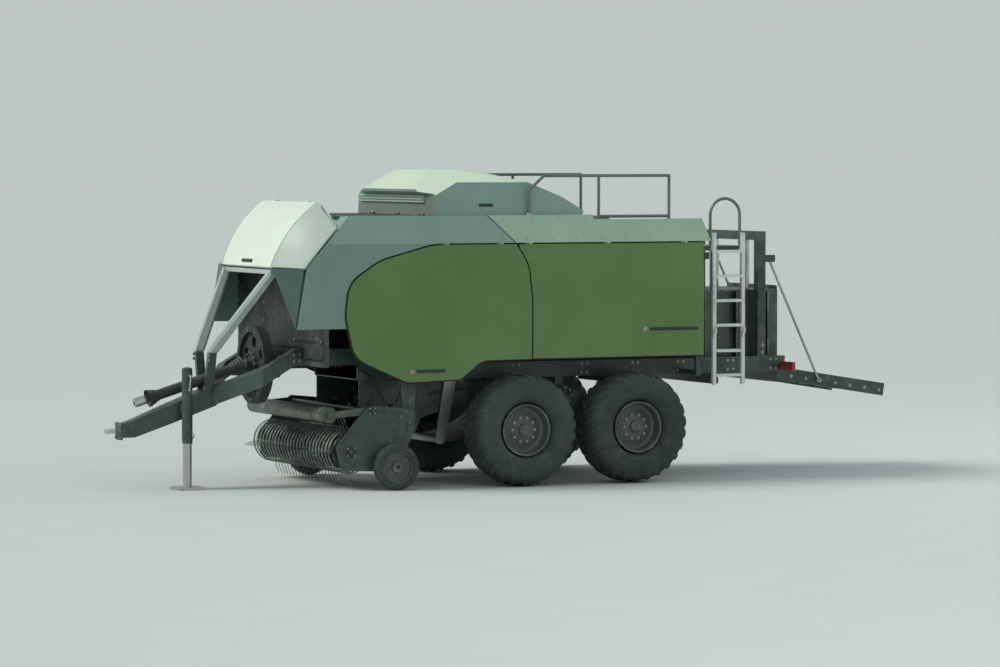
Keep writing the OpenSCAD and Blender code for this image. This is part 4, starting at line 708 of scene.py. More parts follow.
outline = rounded_line(front_outline)
door_middle = np.array([1.3, 1.9])
gap_line = outline + unit(outline - door_middle) * 0.008
below_shoulder = gap_line[:, 1] < 2.60
start = int(np.argmax(below_shoulder & ~np.roll(below_shoulder, 1)))
gap_line = np.roll(gap_line, -start, axis=0)[np.roll(below_shoulder, -start)]
rubber = finish("seal_rubber", (0.010, 0.011, 0.011), 0.7, patch=0.2, dust=0.3, grain=160.0, bump=0.3)
seals = {"front": strip_along(gap_line, 0.020, door_y, 0.006, 0.030),
         "rear": strip_along(level_line(-1.93, 0.15, 1.395), 0.022, door_y, 0.006, 0.030),
         "top": strip_along(level_line(-1.93, 1.34, 2.662), 0.034, door_y, 0.005, 0.038)}
for side, side_name in sides:
    for where, seal in seals.items():
        made(f"seal_{where}_{side_name}", on_side(seal, side), rubber)
    for door, x0, x1, z in (("rear", -1.88, -1.27, 1.70), ("front", 1.20, 1.54, 1.285)):
        body = f"door_{door}_{side_name}"
        lift = 0.011 * np.sqrt(np.clip(1 - np.linspace(-1, 1, 24) ** 6, 0, 1))
        points, faces = strip_along(level_line(x0, x1, z, 24), 0.034, door_y, 0.012, -0.010)
        points[:, 1] -= 0.010 - np.repeat(lift, 4)
        made(f"grip_{door}_{side_name}", on_side((points, faces), side), "black_plastic", body, width=0.003)
        latch = thick(rounded_box(x1 + 0.03, x1 + 0.08, z - 0.025, z + 0.025, 0.010), door_y(z) - 0.004,
                      door_y(z) + 0.008)
        made(f"latch_{door}_{side_name}", on_side(latch, side), zinc_bolts, body, width=0.002)

# %% [markdown]
# Between the hood's curved edge and the straight edge of the side lies a corner panel. On the real
# cover it is one pressed sheet that twists from one edge to the other. A ruled surface says just
# that: straight lines join the two edges, point by point, and the sheet is given its thickness.

# %% Corner panels
hood_foot, hood_head = np.array([3.01, 2.42]), np.array([2.50, 3.12])
side_foot, side_head = np.array([2.85, 1.3, 2.42]), np.array([2.44, 1.228, 2.85])

def hood_edge(t):
    """The hood's edge: a quadratic curve from foot to head in X and Z, bulged by 0.16 of its chord;
    in Y it goes in a straight line with height from 736 mm to 816 mm."""
    chord = hood_head - hood_foot
    middle = (hood_foot + hood_head) / 2 + 0.16 * np.array([chord[1], -chord[0]])
    t = np.asarray(t)[:, None]
    xz = (1 - t) ** 2 * hood_foot + 2 * t * (1 - t) * middle + t ** 2 * hood_head
    return np.stack([xz[:, 0], 0.736 + 0.08 * (xz[:, 1] - 2.42) / 0.7, xz[:, 1]], -1)

def twisted_sheet(rows=28, columns=28, deep=0.024, inset=0.002):
    """Straight lines from the hood's edge to the side's edge, and the same grid again, deep behind."""
    t, s = np.linspace(0, 1, rows), np.linspace(0, 1, columns)[None, :, None]
    near, far = hood_edge(t)[:, None], (side_foot + (side_head - side_foot) * t[:, None])[:, None]
    face = near + (far - near) * s
    out = unit(np.cross(np.gradient(face, axis=1), np.gradient(face, axis=0)))
    out *= np.where(out[:, :, :1] < 0, -1, 1)
    return slab(face - out * inset, face - out * (inset + deep))

sheet = twisted_sheet()
# The corner panels take the darker grey, which is painted shade on white sheet.
corner_pieces = [made("corner_panel_" + side_name, on_side(sheet, side), corner_painted_shade, slot="body_white", width=0.004)
                 for side, side_name in sides]
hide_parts("corner_panels")

def ruled_plate(first, second, rows=6, deep=0.004):
    """Straight lines between two edges, each given by its two ends, with a thickness along the
    middle normal."""
    t = np.linspace(0, 1, rows)[:, None, None]
    a, b = (np.asarray(p[0], float) + (np.asarray(p[1], float) - p[0]) * t for p in (first, second))
    face = np.concatenate([a + (b - a) * s for s in np.linspace(0, 1, 4)], 1)
    out = unit(np.cross(face[-1, 0] - face[0, 0], face[0, -1] - face[0, 0]))
    return slab(face, face - out * deep)

gusset = ruled_plate(((2.398, 1.222, 2.852), (2.284, 1.176, 2.968)), ((2.409, 1.19, 2.836), (2.409, 0.985, 2.968)))
for side, side_name in sides:
    made("shoulder_gusset_" + side_name, on_side(gusset, side), "body_light_grey")

# %% [markdown]
# Covers like these are moulded in two tones: white above, where they catch the sun, grey below.
# The raised cover over the knotters has grey flanks, and its front under the white lip is painted dark grey
# as painted shade, the shadow of the lip. So the same mesh carries several paints and a face picks its own by the way
# it looks.

# %% Two-tone covers
def repaint(piece, material, chosen):
    """Gives another paint to the faces picked by a test of their centres and normals."""
    mesh = piece.data
    count = len(mesh.polygons)
    centres, normals = np.empty(count * 3), np.empty(count * 3)
    mesh.polygons.foreach_get("center", centres)
    mesh.polygons.foreach_get("normal", normals)
    marks = np.empty(count, np.int32)
    mesh.polygons.foreach_get("material_index", marks)
    picked = chosen(centres.reshape(-1, 3), normals.reshape(-1, 3))
    mesh.materials.append(material)
    mesh.polygons.foreach_set("material_index", np.where(picked, len(mesh.materials) - 1, marks).astype(np.int32))
    return int(picked.sum())

cowl_piece = bpy.data.objects["knotter_cowl_rounded"]
grey_faces = repaint(cowl_piece, paints["body_light_grey"], lambda c, n: np.abs(n[:, 1]) > 0.9)
# The front faces under the lip take the dark grey, which is painted shade.
grey_faces += repaint(cowl_piece, cowl_brow_painted_shade, lambda c, n: (n[:, 0] > 0.9) & (c[:, 2] < 3.25))
# The nose cheeks take the near black, which is painted shade under the corner panels.
rounded_node("nose_cheeks", 0.005, 2, cheek_painted_shade)
rounded_node("cowl_grille", 0.002, 2, louvre_grey)
rounded_node("density_rams", 0.004)
print("grey faces of the cowl", grey_faces)

# %% [markdown]
# Screws and bolts hold every cover and bracket. They are small, but rows of them give the eye its
# scale. A head is a short profile turned about its own axis, then set upright on the surface at
# each place: the turn that does so carries the Z axis onto the surface's normal.

# %% Fasteners
def facing(normal):
    """The matrix of a turn whose third column is the given direction."""
    z = unit(np.asarray(normal, float))
    x = unit(np.cross([1.0, 0, 0] if abs(z[0]) < 0.9 else [0, 1.0, 0], z))
    return np.stack([x, np.cross(z, x), z], 1)

def placed(part, spots):
    """The part at each spot: (point, direction) pairs."""
    moves = np.tile(np.eye(4), (len(spots), 1, 1))
    for move, (point, direction) in zip(moves, spots):
        move[:3, :3] = facing(direction)
        move[:3, 3] = point
    return repeated(part, moves)

def screw_head(radius, height):
    """A low dome: its edge stands straight for a third of its height, then closes by a curve."""
    return turned([(closed, -0.001), (radius, -0.001), (radius, height * 0.35), (radius * 0.82, height * 0.75),
                   (radius * 0.45, height * 0.96), (closed, height)], (0, 0, 0), 14, "z")

def bolt_head(radius, height):
    """A washer with a six-sided head on it."""
    washer = turned(rod(radius * 1.35, -0.001, height * 0.18), (0, 0, 0), 18, "z")
    head = turned([(closed, height * 0.18), (radius, height * 0.18), (radius, height * 0.88), (radius * 0.8, height),
                   (closed, height)], (0, 0, 0), 6, "z")
    return np.concatenate([washer[0], head[0]]), np.concatenate([washer[1], head[1] + len(washer[0])])

def twins(points, direction):
    """A spot at each point and at its mirror image on the other side."""
    return [(np.multiply(point, (1, side, 1)), np.multiply(direction, (1, side, 1))) for side, _ in sides
            for point in points]

def row(p, q, n, direction):
    """n spots from p to q, and their mirror images."""
    return twins(np.linspace(p, q, n), direction)

band_out = (0, 0.93, 0.372)

def on_band(x, z):
    """A point on the shoulder band, which leans in by 120 mm over 300 mm."""
    return np.array([x, 1.3 - 0.12 * (z - 2.67) / 0.3, z])

cover_spots = row((2.765, 1.3, 2.36), (2.865, 1.3, 1.82), 5, (0, 1, 0))
cover_spots += row((2.80, 1.3, 1.80), (2.44, 1.3, 1.80), 3, (0, 1, 0))
cover_spots += row(on_band(2.42, 2.72), on_band(0.50, 2.72), 8, band_out)
cover_spots += row(on_band(0.20, 2.72), on_band(-1.90, 2.72), 8, band_out)
cover_spots += row(on_band(2.26, 2.93), on_band(0.72, 2.93), 5, band_out)
cover_spots += row(on_band(0.46, 2.93), on_band(-0.55, 2.93), 4, band_out)
made("cover_screws", placed(screw_head(0.011, 0.006), cover_spots), zinc_bolts)

frame_spots = twins([(x + dx, 0.8, z) for x in (-3.1, -2.55, -1.92, -1.35, -0.72, 0.12, 0.99, 1.6)
                     for dx in (-0.035, 0.035) for z in (1.205, 1.305)], (0, 1, 0))
frame_spots += twins([(x, 0.6, z) for x in np.arange(-3.15, 1.9, 0.42) for z in (1.42, 2.03)], (0, 1, 0))
frame_spots += twins([(2.62, y, z) for z in (1.62, 1.80, 2.0, 2.2, 2.4) for y in (1.22, 0.45)], (1, 0, 0))
made("frame_bolts", placed(bolt_head(0.012, 0.010), frame_spots), zinc_bolts)
print("fasteners", len(cover_spots) + len(frame_spots))

# %% [markdown]
# The gearbox behind the flywheel is a casting: ribbed walls, a bolted lid and a round flange.
# Ribs are thin plates on its sides, and bolts ring the input housing and hold the lid.

# %% Gearbox
ribs = []
for x in (2.10, 2.25, 2.40, 2.52):
    ribs += both_sides(thick(oblong(x - 0.008, x + 0.008, 0.32, 0.345), 1.36, 1.92, "z"))
lid = thick(oblong(2.02, 2.585, -0.30, 0.30), 2.01, 2.028, "z")
flange = turned([(0.091, 2.635), (0.15, 2.635), (0.15, 2.655), (0.14, 2.662), (0.091, 2.662)], (0, 0, 1.33), 48, "x")
# Ribs, lid and flange take the gearbox's near black, which is painted shade.
made("gearbox_ribs", joined(ribs + [lid, flange]), cast_black_and_painted_shade, slot="frame_grey", width=0.003)
gear_spots = [(place, (1, 0, 0)) for place in ring((2.662, 0, 1.33), 0.122, 8, "x")]
gear_spots += row((2.05, 0.275, 2.028), (2.555, 0.275, 2.028), 6, (0, 0, 1))
made("gearbox_bolts", placed(bolt_head(0.010, 0.009), gear_spots), zinc_bolts)

# %% [markdown]
# Two hydraulic cylinders press the bale chamber together at its rear, under the crosshead.
# Each barrel has a bright sleeve with a raised ring near both ends: one profile turned about its axis.

# %% Density cylinders
barrel = [(0.0552, 2.30), (0.0558, 2.31), (0.0558, 2.325), (0.0552, 2.335), (0.0552, 2.60), (0.0558, 2.61),
          (0.0558, 2.64), (0.052, 2.65), (0.02, 2.65), (0.02, 2.29), (0.052, 2.29)]
for side, side_name in sides:
    made("ram_barrel_" + side_name, turned(barrel, (-2.95, side * 0.38, 0), 32, "z"), "bright_steel")

# %% [markdown]
# A ladder step and a walkway are rough on top, so that a wet boot holds: rows of pressed studs do
# that on the rungs, and raised bars in pairs, each pair turned across the next, on the walkway.

# %% Steps and walkway
def stud_spots(steps, base=1.74):
    """Two lines of studs on each rung: the rungs stand 275 mm apart, counted from the base."""
    return [((x, y, base + 0.275 * i), (0, 0, 1)) for i in steps for x in np.linspace(-2.40, -2.14, 9)
            for y in (1.285, 1.315)]

stud = screw_head(0.007, 0.004)
made("rung_studs", placed(stud, stud_spots(range(4))), "white_metal")
made("foot_rung_studs", placed(stud, stud_spots((-1, -2), 1.73)), "white_metal", "ladder_foot")

def raised_bars(x0, x1, y0, y1, z, pitch=0.055):
    """Pairs of low bars over a sheet: each is a flat box, its long side turned by 45 degrees one
    way or the other by the parity of its row and column."""
    xs, ys = np.arange(x0, x1, pitch), np.arange(y0, y1, pitch)
    gx, gy = np.meshgrid(xs, ys, indexing="ij")
    parity = np.indices(gx.shape).sum(0) % 2 * 2 - 1
    a = (parity * np.pi / 4).ravel()
    corner = np.array([(-1, -1, 0), (1, -1, 0), (1, 1, 0), (-1, 1, 0), (-0.8, -0.5, 1), (0.8, -0.5, 1), (0.8, 0.5, 1),
                       (-0.8, 0.5, 1)]) * [0.017, 0.0042, 0.0018]
    c, s = np.cos(a)[:, None], np.sin(a)[:, None]
    points = np.stack([gx.ravel()[:, None] + c * corner[:, 0] - s * corner[:, 1],
                       gy.ravel()[:, None] + s * corner[:, 0] + c * corner[:, 1], z + 0 * c + corner[:, 2]], -1)
    one = np.array([[4, 5, 6, 7], [0, 1, 5, 4], [1, 2, 6, 5], [2, 3, 7, 6], [3, 0, 4, 7], [3, 2, 1, 0]])
    return points.reshape(-1, 3), (one[None] + 8 * np.arange(len(a))[:, None, None]).reshape(-1, 4)

made("walkway_tread", raised_bars(-2.45, -0.70, -1.12, 1.13, 2.612), "galvanised")

# %% [markdown]
# The twine comes in wound balls that stand on shelves behind the rear doors. A ball is a drum whose
# face waves where the strands cross: two families of slanting lines, added together.

# %% Twine balls
def wound(steps=56, rings=30, radius=0.1295, high=0.259):
    """A drum with rounded rims: radius at (t, u) swells by 2.5 mm times |sin(14t + 9u)| + |sin(14t - 9u)|."""
    t = circle(steps)
    u = np.linspace(0, 1, rings)
    rim = np.minimum(1, (1 - np.abs(2 * u - 1)) * 6) ** 0.45
    wave = np.abs(np.sin(14 * t[None] + 9 * np.pi * u[:, None])) + np.abs(np.sin(14 * t[None] - 9 * np.pi * u[:, None]))
    r = (radius - 0.005) * (0.80 + 0.20 * rim[:, None]) + 0.0025 * wave * rim[:, None]
    side = np.stack([r * np.cos(t), r * np.sin(t), high * u[:, None] + 0 * r], -1)
    foot, *core = [ring((0, 0, level), r0, steps, "z") for r0, level in
                   ((closed, 0.002), (0.04, high), (0.036, high - 0.05), (closed, high - 0.05))]
    grid = np.concatenate([[foot], side, core])
    return grid.reshape(-1, 3), grid_faces(len(grid), steps)

low, high = (np.array(v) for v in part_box("twine_balls"))
places = [(x, y, z) for y in (0.13 - high[1], high[1] - 0.13) for z in (low[2], high[2] - 0.26)
          for x in np.linspace(low[0] + 0.13, high[0] - 0.13, 6)]
spots = np.tile(np.eye(4), (len(places), 1, 1))
spots[:, :3, 3] = places
balls = made("wound_twine", repeated(wound(), spots), "twine", smooth=60)
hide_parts("twine_balls")

# %% [markdown]
# The chute's rollers turn on short axles, and their ends show as bolt heads outside the side plates.
# The lamps beside it sit in dark housings: on each side two red lenses with an amber one between.

# %% Chute and lamps
slope = math.radians(9)
hinge = np.array([-3.35, 0, 1.11])
length = (4.65 - 3.35 - 0.084 * math.sin(slope)) / math.cos(slope)
down = np.array([math.cos(slope), 0, math.sin(slope)])
rollers = [hinge - (0.08 + i * (length - 0.14) / 6) * down for i in range(7)]
collar = turned([(0.0382, 0.595), (0.044, 0.595), (0.044, 0.5985), (0.0382, 0.5985)], (0, 0, 0), 24)
made("roller_bolts", placed(bolt_head(0.014, 0.004), twins([at + [0, 0.62, 0] for at in rollers], (0, 1, 0))),
     zinc_bolts, "chute")
made("roller_collars", joined([part for at in rollers for part in both_sides(collar, at)]), "plate_steel", "chute")

def lens(y0, y1, rows=11, columns=9):
    """A low pillow: its front swells by 10 mm times (1 - u^4)(1 - v^4), with u and v from -1 to 1."""
    u, v = np.meshgrid(np.linspace(0, 1, rows), np.linspace(0, 1, columns), indexing="ij")
    swell = 0.010 * (1 - (2 * u - 1) ** 4) * (1 - (2 * v - 1) ** 4)
    front = np.stack([-3.21 - swell, y0 + (y1 - y0) * u, 1.192 + 0.086 * v], -1)
    return slab(front, front * [0, 1, 1] + [-3.209, 0, 0])

red_lenses = both_sides(lens(0.84, 0.93)) + both_sides(lens(1.03, 1.12))
made("lamp_lenses", joined(red_lenses), "lamp_red", smooth=60)
made("lamp_amber_lenses", joined(both_sides(lens(0.94, 1.02))), amber, slot="lamp_red", smooth=60)

# %% [markdown]
# The rocker arms carry a flanged boss where they swing, closed by a bolted cap.
# Boss and cap are profiles turned about the Y axis.

# %% Rocker pivots
pivot_cap = [(0.0635, 0.9405), (0.105, 0.9405), (0.105, 0.950), (0.096, 0.955), (0.070, 0.956), (0.0635, 0.952)]
pin_cap = [(closed, 0.951), (0.058, 0.951), (0.058, 0.957), (0.052, 0.963), (closed, 0.964)]
pivots = [part for cap in (pivot_cap, pin_cap) for part in both_sides(turned(cap, (0, 0, 0), 48), (-0.41, 0, 0.965))]
made("rocker_caps", joined(pivots), cast_black_and_painted_shade, smooth=35)
made("rocker_cap_bolts", placed(bolt_head(0.008, 0.007), twins(ring((-0.41, 0.955, 0.965), 0.082, 8), (0, 1, 0))),
     zinc_bolts)

# %% [markdown]
# The pickup's side sheets are pressed: a raised bead runs round each, inside its edge, and stops the
# thin sheet from drumming. Bearings for the reel and the crop roller are bolted on outside.
# The bead follows the sheet's own rounded outline, drawn in towards its middle.

# %% Pickup sides
sheet_outline = rounded_line(np.array([[1500, 870, 50], [2030, 920, 60], [2210, 740, 80], [2430, 480, 100],
                                       [2370, 220, 80], [1710, 190, 40], [1500, 640, 80]]) / 1000)
inset = sheet_outline.mean(0) + (sheet_outline - sheet_outline.mean(0)) * 0.84
round_bead = strip_along(np.concatenate([inset, inset[:1]]), 0.016, lambda z: 1.162 + 0 * z, 0.006, -0.005)
made("pickup_beads", joined(both_sides(round_bead)), "frame_grey", "pickup", width=0.002)
caps = []
cap_spots = twins([(x, 1.1625, z) for x, z in ((1.60, 0.84), (1.56, 0.72), (1.66, 0.78), (1.72, 0.285), (1.82, 0.275))],
                  (0, 1, 0))
for x, z, radius in ((2.25, 0.42, 0.070), (2.00, 0.86, 0.045)):
    cap = [(closed, 1.1625), (radius, 1.1625), (radius, 1.170), (radius * 0.62, 1.173), (radius * 0.55, 1.188),
           (radius * 0.45, 1.192), (closed, 1.192)]
    caps += both_sides(turned(cap, (0, 0, 0), 36), (x, 0, z))
    cap_spots += twins(ring((x, 1.1715, z), radius * 0.8, 4, start=0.78), (0, 1, 0))
made("pickup_bearings", joined(caps), cast_black_and_painted_shade, "pickup")
made("pickup_bolts", placed(bolt_head(0.008, 0.007), cap_spots), zinc_bolts, "pickup")

# %% [markdown]
# The parking jack is wound up and down by a crank on its side: a bent rod with a loose grip.
# A pin through the sleeve holds the leg. The head is closed by a domed cap.

# %% Jack crank
jack = np.array([3.78, 0.215, 0.0])

def bend(points, steps=6):
    """Joins straight runs by short curves: each inner corner becomes a quadratic curve that starts
    and ends 30 mm from it."""
    points = np.asarray(points, float)
    path = [points[0]]
    for p, q, s in zip(points[:-2], points[1:-1], points[2:]):
        a, b = q + unit(p - q) * 0.03, q + unit(s - q) * 0.03
        t = np.linspace(0, 1, steps)[:, None]
        path += list((1 - t) ** 2 * a + 2 * t * (1 - t) * q + t ** 2 * b)
    return np.array(path + [points[-1]])

crank = bend([jack + [0, 0.055, 1.24], jack + [0, 0.125, 1.24], jack + [0.02, 0.125, 1.07], jack + [0.02, 0.235, 1.07]])
grip_turned = turned([(0.0105, 0.145), (0.017, 0.147), (0.019, 0.19), (0.017, 0.232), (0.0105, 0.234)],
                     jack + [0.02, 0, 1.07], 20)
head = turned([(closed, 1.301), (0.057, 1.301), (0.057, 1.312), (0.045, 1.322), (0.02, 1.328), (closed, 1.329)],
              jack, 32, "z")
boss = turned([(closed, 0.054), (0.026, 0.054), (0.026, 0.078), (0.020, 0.082), (closed, 0.082)], jack + [0, 0, 1.24],
              24)
made("jack_crank", piped(crank, 0.010, 12), zinc_bolts)
made("jack_grip", grip_turned, "black_plastic")
made("jack_head", joined([head, boss]), "frame_grey", smooth=35)
pin = jack + [[-0.078, 0, 0.56], [-0.058, 0, 0.56]]
ear = [pin[0], pin[0] + [0, 0, 0.05]]
made("jack_pin", joined([piped(pin, 0.009, 10), piped(ear, 0.005, 8)]), zinc_bolts)

# %% [markdown]
# The drawbar is welded from plates. A bolted flange with rounded corners carries the tow ring, and
# bolts hold the feet of the arms.

# %% Drawbar details
flange = thick(rounded_box(-0.10, 0.10, 0.545, 0.735, 0.02), 4.478, 4.497, "x")
made("tow_flange", flange, "frame_grey", width=0.003)
tow_spots = [((4.498, y, z), (1, 0, 0)) for y in (-0.08, 0.08) for z in (0.565, 0.64, 0.715)]
arm_spots = twins([(3.535, 0.231, 1.40), (3.535, 0.231, 1.45), (2.65, 0.6805, 1.40), (2.65, 0.6805, 1.47),
                   (2.72, 0.6805, 1.39), (2.72, 0.6805, 1.46)], (0, 1, 0))
made("drawbar_bolts", placed(bolt_head(0.011, 0.009), tow_spots + arm_spots), zinc_bolts)

# %% [markdown]
# The hood swings up by a grip at its lower edge: a shallow bar that follows the hood's curve.
# Its five-cornered section lies in the X-Z plane and is given its width along Y.

# %% Hood details
def on_hood(t):
    """A point of the hood's middle line and the direction out of its surface: X and Z."""
    a, b = hood_edge([t, t + 0.01])[:, [0, 2]]
    way = unit(b - a)
    return a, np.array([way[1], -way[0]])

(low_at, out_at), (high_at, _) = on_hood(0.045), on_hood(0.085)
section = np.array([low_at - out_at * 0.004, low_at + out_at * 0.012, (low_at + high_at) / 2 + out_at * 0.020,
                    high_at + out_at * 0.012, high_at - out_at * 0.004])
made("hood_grip", thick(section, -0.14, 0.14), "black_plastic", "hood", width=0.004)

# %% [markdown]
# Six knotters stand in a row over the chamber. Each one is driven by a toothed disc with a cam track.
# The tooth line is a radius that rises and falls with the angle, squared off by a steep clip.

# %% Knotter gears
def toothed_disc(y, x, z, steps=120, teeth=20):
    """Radius 99 mm plus 6.5 mm times a clipped sine of the angle, with a raised ring inside."""
    t = circle(steps)
    edge = 0.099 + 0.0065 * np.clip(np.sin(teeth * t) * 2.2, -1, 1)
    y0, y1 = y + 0.0755, y + 0.0840
    rings = [(0.031, y0), (edge, y0), (edge, y1), (0.078, y1), (0.076, y1 + 0.004), (0.068, y1 + 0.004), (0.066, y1),
             (0.031, y1)]
    grid = [np.stack([x + r * np.cos(t), level + 0 * t, z + r * np.sin(t)], -1) for r, level in rings]
    return np.concatenate(grid), grid_faces(len(rings), steps, True)

knot_x, knot_z = 0.26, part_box("knotters")[1][2] - 0.11
gears = [toothed_disc((k - 2.5) * 0.18, knot_x, knot_z) for k in range(6)]
made("knotter_gears", joined(gears), "bright_steel")

# %% [markdown]
# Posts of the railings and of the grab bars stand on round flanges, each held by three bolts.

# %% Railing feet
foot = [(0.0172, 0), (0.046, 0), (0.046, 0.006), (0.028, 0.008), (0.022, 0.02), (0.0172, 0.02)]
feet, foot_spots = [], []
for place in np.array([(-0.73, 1.14, 2.612), (-1.60, 1.14, 2.612), (0.12, 1.14, 2.970)]):
    feet += both_sides(turned(foot, place, 28, "z"))
    foot_spots += twins(ring(place + [0, 0, 0.006], 0.036, 3, "z"), (0, 0, 1))
made("railing_feet", joined(feet), "galvanised", smooth=35)
made("railing_bolts", placed(bolt_head(0.005, 0.005), foot_spots), zinc_bolts)

# %% [markdown]
# The wall behind the flywheel is pressed sheet with swages, and so are the sides of the feed
# housing. Long flat beads across the sheet give it the same look.

# %% Pressed walls
def bead(p, q, wide, high, normal, steps=10):
    """A low rounded bar from p to q on a wall: its section is a half sine and its ends close down
    over their own width."""
    p, q, n = (np.asarray(v, float) for v in (p, q, normal))
    run = np.linalg.norm(q - p)
    along = (q - p) / run
    across = np.cross(n, along)
    s = np.linspace(0, 1, 15)
    ease = np.sqrt(np.clip(1 - np.clip(1 - np.minimum(s, 1 - s) * run / wide * 1.6, 0, 1) ** 2, 0, 1))
    u = np.linspace(-1, 1, steps)
    line = p + along * (s * run)[:, None]
    top = (line[:, None] + across * (u[None, :, None] * wide / 2 * np.maximum(ease, 0.02)[:, None, None])
           + n * (high * np.cos(u * np.pi / 2)[None, :, None] * ease[:, None, None] - 0.0005))
    return top.reshape(-1, 3), grid_faces(15, steps, False, True)

wall_beads = []
for z in (1.62, 1.86, 2.10, 2.34):
    wall_beads += both_sides(bead((2.62, 0.52, z), (2.62, 1.13, z), 0.07, 0.010, (1, 0, 0)))
# The beads take the bulkhead's near black, which is painted shade.
made("bulkhead_beads", joined(wall_beads), cast_black_and_painted_shade, smooth=50)

# %% [markdown]
# Small things must sit exactly on what carries them. A ray sent at a solid from outside gives the
# point where it lands and the way the surface looks there, so neither is typed by hand.

# %% Seated spots
from mathutils.bvhtree import BVHTree

def seated(node, points, direction):
    """Where rays that come in along -direction meet a solid: (point, normal) pairs, with mirror
    images on the other side."""
    shape = bmesh.new()
    shape.from_mesh(frame["nodes"][node].data)
    tree = BVHTree.FromBMesh(shape)
    shape.free()
    spots = []
    for point, way in twins(points, direction):
        place, normal, _, _ = tree.ray_cast(Vector(point + way * 0.5), Vector(-way))
        if place is not None:
            spots.append((np.array(place), np.array(normal)))
    return spots

cowl_spots = seated("knotter_cowl", [(x, 1.1, 3.005) for x in np.linspace(-0.45, 1.15, 9)], (0, 1, 0))
made("cowl_screws", placed(screw_head(0.009, 0.005), cowl_spots), zinc_bolts, "cowl")
post_spots = seated("density_frame", [(x, 0.8, z) for x in (-3.10, -2.96) for z in (1.39, 1.47)], (0, 1, 0))
post_spots += seated("density_frame", [(-3.03, y, 2.5) for y in (0.30, 0.46)], (0, 0, 1))
made("density_bolts", placed(bolt_head(0.014, 0.012), post_spots), zinc_bolts)

# %% [markdown]
# The raised cover is lifted by two moulded grips low on its flanks. A grip is a bar with round ends
# whose section is a half circle, so it is a bead that stands out further.

# %% Cowl grips
grips = [bead(place + [-0.09, 0, 0], place + [0.09, 0, 0], 0.034, 0.022, normal, 12)
         for place, normal in seated("knotter_cowl", [(0.62, 1.1, 3.08)], (0, 1, 0))]
made("cowl_grips", joined(grips), "black_plastic", "cowl", smooth=50)

# %% [markdown]
# The deck between the hood and the cover is where one kneels to reach the knotters, so its sheet is
# pressed with the same raised bars as the walkway.

# %% Front deck
made("deck_tread", raised_bars(1.36, 2.36, -1.04, 1.05, 2.970), "frame_grey")

# %% [markdown]
# The feed rotor turns in flanged bearings on the outside of its housing. The housing's sides and the
# end of the bale chamber are stiffened: beads on the one, a folded flange over the other.

# %% Housing and chamber end
rotor_axle, housing_y = np.array([1.56, 0, 0.80]), 0.612
bearing = turned([(0.048, 0.6125), (0.098, 0.6125), (0.098, 0.623), (0.072, 0.630), (0.062, 0.644), (0.048, 0.644)],
                 (0, 0, 0), 40)
made("rotor_bearings", joined(both_sides(bearing, rotor_axle)), cast_black_and_painted_shade)
bearing_spots = twins(ring(rotor_axle + [0, 0.6225, 0], 0.084, 6), (0, 1, 0))
made("rotor_bearing_bolts", placed(bolt_head(0.009, 0.008), bearing_spots), zinc_bolts)
stiff = both_sides(bead((0.35, housing_y, 1.10), (1.15, housing_y, 0.98), 0.04, 0.008, (0, 1, 0)))
for angle in np.radians([20, 60, 120, 160, 215, 320]):
    inner, outer = (ring(rotor_axle + [0, housing_y, 0], radius, 1, start=angle)[0] for radius in (0.13, 0.31))
    stiff += both_sides(bead(inner, outer, 0.035, 0.007, (0, 1, 0)))
made("housing_beads", joined(stiff), "frame_grey", smooth=50)
made("chamber_flange", thick(oblong(-0.61, 0.61, 2.096, 2.14), -3.249, -3.237, "x"), "plate_steel", width=0.003)

# %% [markdown]
# Weld seams show wherever two heavy plates meet. A seam is a thin bar whose radius waves along its
# length, once for each drop of metal that was laid down.

# %% Weld seams
def seam(p, q, radius=0.005):
    """A bar from p to q: its radius is multiplied by 1 + 0.18 sin(angle), one wave every 9 mm."""
    p, q = np.asarray(p, float), np.asarray(q, float)
    run = np.linalg.norm(q - p)
    n = max(6, int(run / 0.003))
    s = np.linspace(0, 1, n)
    line = p + (q - p) * s[:, None]
    points, faces = piped(line, radius, 6)
    kept = np.repeat(np.r_[0, np.arange(n), n - 1], 6)
    wave = 1 + 0.18 * np.sin(2 * np.pi * s * run / 0.009)
    return line[kept] + (points - line[kept]) * wave[kept][:, None], faces

seams = []
for side, _ in sides:
    seams += [seam((x0, side * y0, z0), (x1, side * y1, z1)) for x0, y0, z0, x1, y1, z1 in (
        (-0.49, 0.80, 0.89, -0.33, 0.80, 0.89), (2.602, 0.575, 1.345, 2.602, 0.675, 1.345),
        (2.602, 0.681, 1.35, 2.602, 0.681, 1.52), (-3.16, 0.70, 1.346, -2.90, 0.70, 1.346))]
    seams += [seam((x, side * 0.12, 0.84), (x, side * 0.12, 0.92), 0.004) for x in (3.74, 3.82)]
made("weld_seams", joined(seams), "frame_grey", smooth=60)

# %% [markdown]
# Behind the front doors a chain takes the drive from the gearbox down to the feed rotor. It runs over
# two toothed wheels: a loop round two circles, whose thickness waves once for each link.

# %% Chain drive
chain_wheels = ((1.78, 1.52, 0.150), (1.36, 1.86, 0.095))

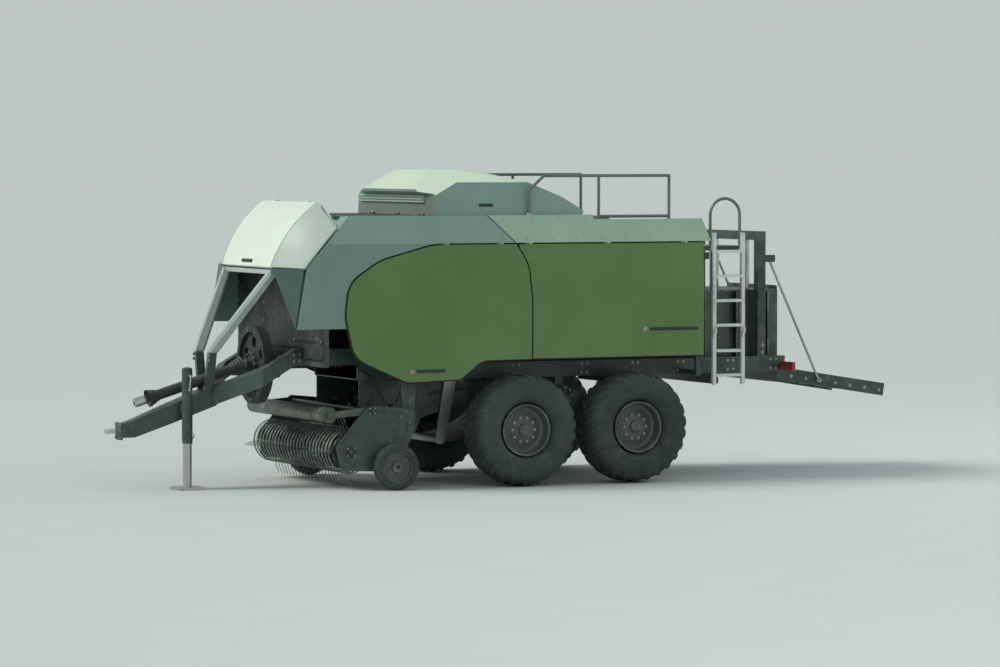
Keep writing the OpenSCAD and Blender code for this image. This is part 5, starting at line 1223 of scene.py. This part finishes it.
def chain_path(first, second, n=260):
    """The line round two circles: an arc of each on its far side and the two outer tangents."""
    (x0, z0, r0), (x1, z1, r1) = first, second
    way = math.atan2(z1 - z0, x1 - x0)
    lean = math.acos((r0 - r1) / math.hypot(x1 - x0, z1 - z0))
    a = np.linspace(way + lean, way + 2 * np.pi - lean, 40)
    b = np.linspace(way - lean, way + lean, 30)
    rough = np.concatenate([np.stack([x0 + r0 * np.cos(a), z0 + r0 * np.sin(a)], -1),
                            np.stack([x1 + r1 * np.cos(b), z1 + r1 * np.sin(b)], -1)])
    rough = np.concatenate([rough, rough[:1]])
    run = np.r_[0, np.cumsum(np.linalg.norm(np.diff(rough, axis=0), axis=1))]
    at = np.linspace(0, run[-1], n)
    return np.stack([np.interp(at, run, rough[:, 0]), np.interp(at, run, rough[:, 1])], -1)

def chain_band(line, y0, y1, links=65):
    """A band along a closed line: its half thickness is 7 mm plus 2.5 mm times the cosine of the
    place along it, one wave for each link."""
    across = normals_of(line)
    half = 0.007 + 0.0025 * np.cos(2 * np.pi * links * np.linspace(0, 1, len(line)))
    rings = [np.insert(line + across * (side * half)[:, None], 1, y, axis=1)
             for side, y in ((-1, y0), (1, y0), (1, y1), (-1, y1))]
    points = np.stack(rings, 1).reshape(-1, 3)
    return points, grid_faces(len(line), 4, True)

def sprocket(x, z, r, y0, y1):
    """A toothed ring whose radius rises and falls with the angle, on a turned hub."""
    teeth = int(round(2 * math.pi * r / 0.026))
    t = circle(teeth * 6)
    edge = r - 0.004 + 0.005 * np.cos(teeth * t)
    rings = [(0.02, y0), (edge, y0), (edge, y1), (0.02, y1)]
    grid = np.concatenate([np.stack([q * np.cos(t), y + 0 * t, q * np.sin(t)], -1) for q, y in rings])
    hub = turned([(0.02, y0 - 0.01), (0.045, y0 - 0.01), (0.045, y1 + 0.012), (0.035, y1 + 0.02), (0.02, y1 + 0.02)],
                 (0, 0, 0), 28)
    shaft = turned(rod(0.0198, housing_y, y1 + 0.026), (0, 0, 0), 20)
    return joined([moved(part, (x, 0, z)) for part in ((grid, grid_faces(4, len(t), True)), hub, shaft)])

chain = both_sides(chain_band(chain_path(*chain_wheels), 0.640, 0.654))
made("drive_chain", joined(chain), band_steel, smooth=50)
sprockets = [part for x, z, r in chain_wheels for part in both_sides(sprocket(x, z, r - 0.010, 0.644, 0.650))]
made("drive_sprockets", joined(sprockets), "plate_steel")
tank = thick(rounded_line([(1.15, 1.36, 0.03), (1.50, 1.36, 0.03), (1.50, 1.62, 0.03), (1.15, 1.66, 0.03)]),
             housing_y + 0.006, 0.70)
made("oil_box", tank, cast_black_and_painted_shade, width=0.006)
